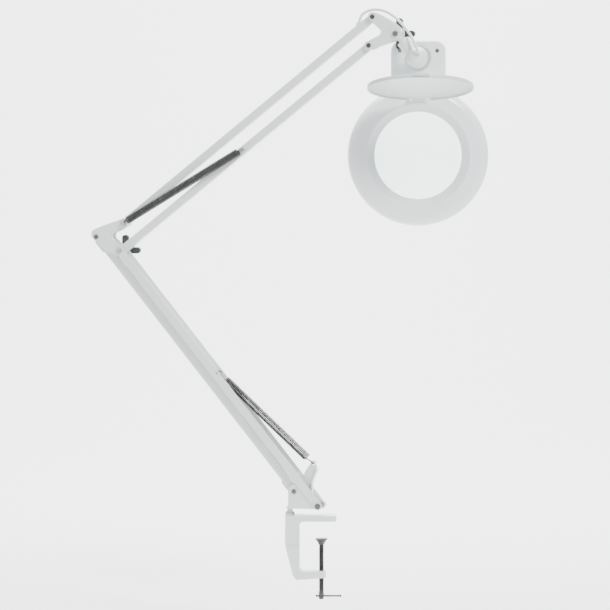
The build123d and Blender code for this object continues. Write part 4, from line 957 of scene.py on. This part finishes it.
# ---- studio -------------------------------------------------------------------------------------
@dataclass
class Studio:
    """A pale coved floor, soft lights and the camera. Sizes are in metres.

    Attributes:
        floor: Height of the floor, clear of the clamp screw.
        half_width: Half the floor's width.
        near: How far the floor runs towards the camera.
        bend: Distance behind the lamp where the floor turns up.
        bend_radius: Radius of the cove.
        wall: Height of the wall.
        colour: The floor's colour.
        eye: The camera's place.
        target: What it looks at.
        lens: Focal length, in millimetres.
        sensor: Width of the camera's sensor, in millimetres.
        far: Distance past which the camera sees nothing.
        cove_steps: Flats in the cove.
        roughness: The floor's roughness.
        lights: Each light's name, place, width, power in watts, and the point that it faces.
        room_colour: Colour of the light that fills the room.
        room_strength: Strength of that light.
    """

    floor: float = -0.16
    half_width: float = 7.0
    near: float = -7.0
    bend: float = 2.4
    bend_radius: float = 1.6
    wall: float = 6.0
    colour: str = "#F3F4F4"
    eye: Point = (-0.023, -5.0, 0.608)
    target: Point = (-0.023, 0.0, 0.3035)
    lens: float = 211.0
    sensor: float = 36.0
    far: float = 60.0
    cove_steps: int = 32
    roughness: float = 0.9
    lights: tuple[tuple[str, Point, float, float, Point], ...] = (
        ("key", (1.6, -2.4, 2.9), 1.0, 210.0, (0.0, 0.0, 0.3)),
        ("fill", (-2.6, -2.2, 0.9), 1.8, 24.0, (0.0, 0.0, 0.3)),
        ("backdrop", (0.0, 1.3, 3.4), 3.0, 620.0, (0.0, 3.6, 0.3)),
    )
    room_colour: str = "#EEF2F5"
    room_strength: float = 0.42

    def build_floor(self) -> None:
        """Makes the floor and the wall as one coved sheet."""
        sheet = bmesh.new()
        start = [
            sheet.verts.new((x, self.near, self.floor)) for x in (-self.half_width, self.half_width)
        ]
        edge = sheet.edges.new(start)
        flat = bmesh.ops.extrude_edge_only(sheet, edges=[edge])["geom"]
        verts = [g for g in flat if isinstance(g, bmesh.types.BMVert)]
        bmesh.ops.translate(sheet, verts=verts, vec=(0.0, self.bend - self.near, 0.0))
        edges = [g for g in flat if isinstance(g, bmesh.types.BMEdge)]
        turn = bmesh.ops.spin(
            sheet, geom=verts + edges, cent=(0.0, self.bend, self.floor + self.bend_radius),
            axis=(1.0, 0.0, 0.0), angle=math.radians(90.0), steps=self.cove_steps, use_merge=False,
            use_duplicate=False,
        )["geom_last"]
        top = bmesh.ops.extrude_edge_only(
            sheet, edges=[g for g in turn if isinstance(g, bmesh.types.BMEdge)]
        )["geom"]
        rise = [g for g in top if isinstance(g, bmesh.types.BMVert)]
        bmesh.ops.translate(sheet, verts=rise, vec=(0.0, 0.0, self.wall))
        for face in sheet.faces:
            face.smooth = True
        mesh = bpy.data.meshes.new("studio_cove")
        sheet.to_mesh(mesh)
        sheet.free()
        paper = bpy.data.materials.new("backdrop_paper")
        paper.use_nodes = True
        shader = paper.node_tree.nodes["Principled BSDF"]
        shader.inputs["Base Color"].default_value = linear(self.colour)
        shader.inputs["Roughness"].default_value = self.roughness
        mesh.materials.append(paper)
        cove = bpy.data.objects.new("studio_cove", mesh)
        bpy.context.scene.collection.objects.link(cove)

    def build_lights(self) -> None:
        """Hangs three broad soft lights and fills the room with pale light."""
        for name, place, size, power, faced in self.lights:
            lamp = bpy.data.lights.new(f"studio_{name}", "AREA")
            lamp.size = size
            lamp.energy = power
            holder = bpy.data.objects.new(f"studio_{name}", lamp)
            holder.location = place
            aim = Vector(faced) - Vector(place)
            holder.rotation_euler = aim.to_track_quat("-Z", "Y").to_euler()
            bpy.context.scene.collection.objects.link(holder)
        room = bpy.data.worlds.new("studio_room")
        bpy.context.scene.world = room
        room.use_nodes = True
        sky = room.node_tree.nodes["Background"]
        sky.inputs["Color"].default_value = linear(self.room_colour)
        sky.inputs["Strength"].default_value = self.room_strength

    def build_camera(self) -> None:
        """Sets the camera up in front of the lamp."""
        camera = bpy.data.cameras.new("front_camera")
        camera.lens = self.lens
        camera.sensor_width = self.sensor
        camera.clip_end = self.far
        holder = bpy.data.objects.new("front_camera", camera)
        holder.location = self.eye
        aim = Vector(self.target) - Vector(self.eye)
        holder.rotation_euler = aim.to_track_quat("-Z", "Y").to_euler()
        bpy.context.scene.collection.objects.link(holder)
        bpy.context.scene.camera = holder


def main() -> None:
    """Builds the lamp and its studio."""
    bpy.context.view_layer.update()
    lamp = (
        Clamp(), SwivelBase(), LowerArm(), Elbow(), UpperArm(), TopBracket(), HeadLead(), Knuckle(),
        LampHead(), Lid(), PowerSwitch(),
    )
    for assembly in lamp:
        log.info("== %s", type(assembly).__name__)
        assembly.build()
        assembly.dress()
    studio = Studio()
    studio.build_floor()
    studio.build_lights()
    studio.build_camera()


if __name__ == "__main__":
    main()
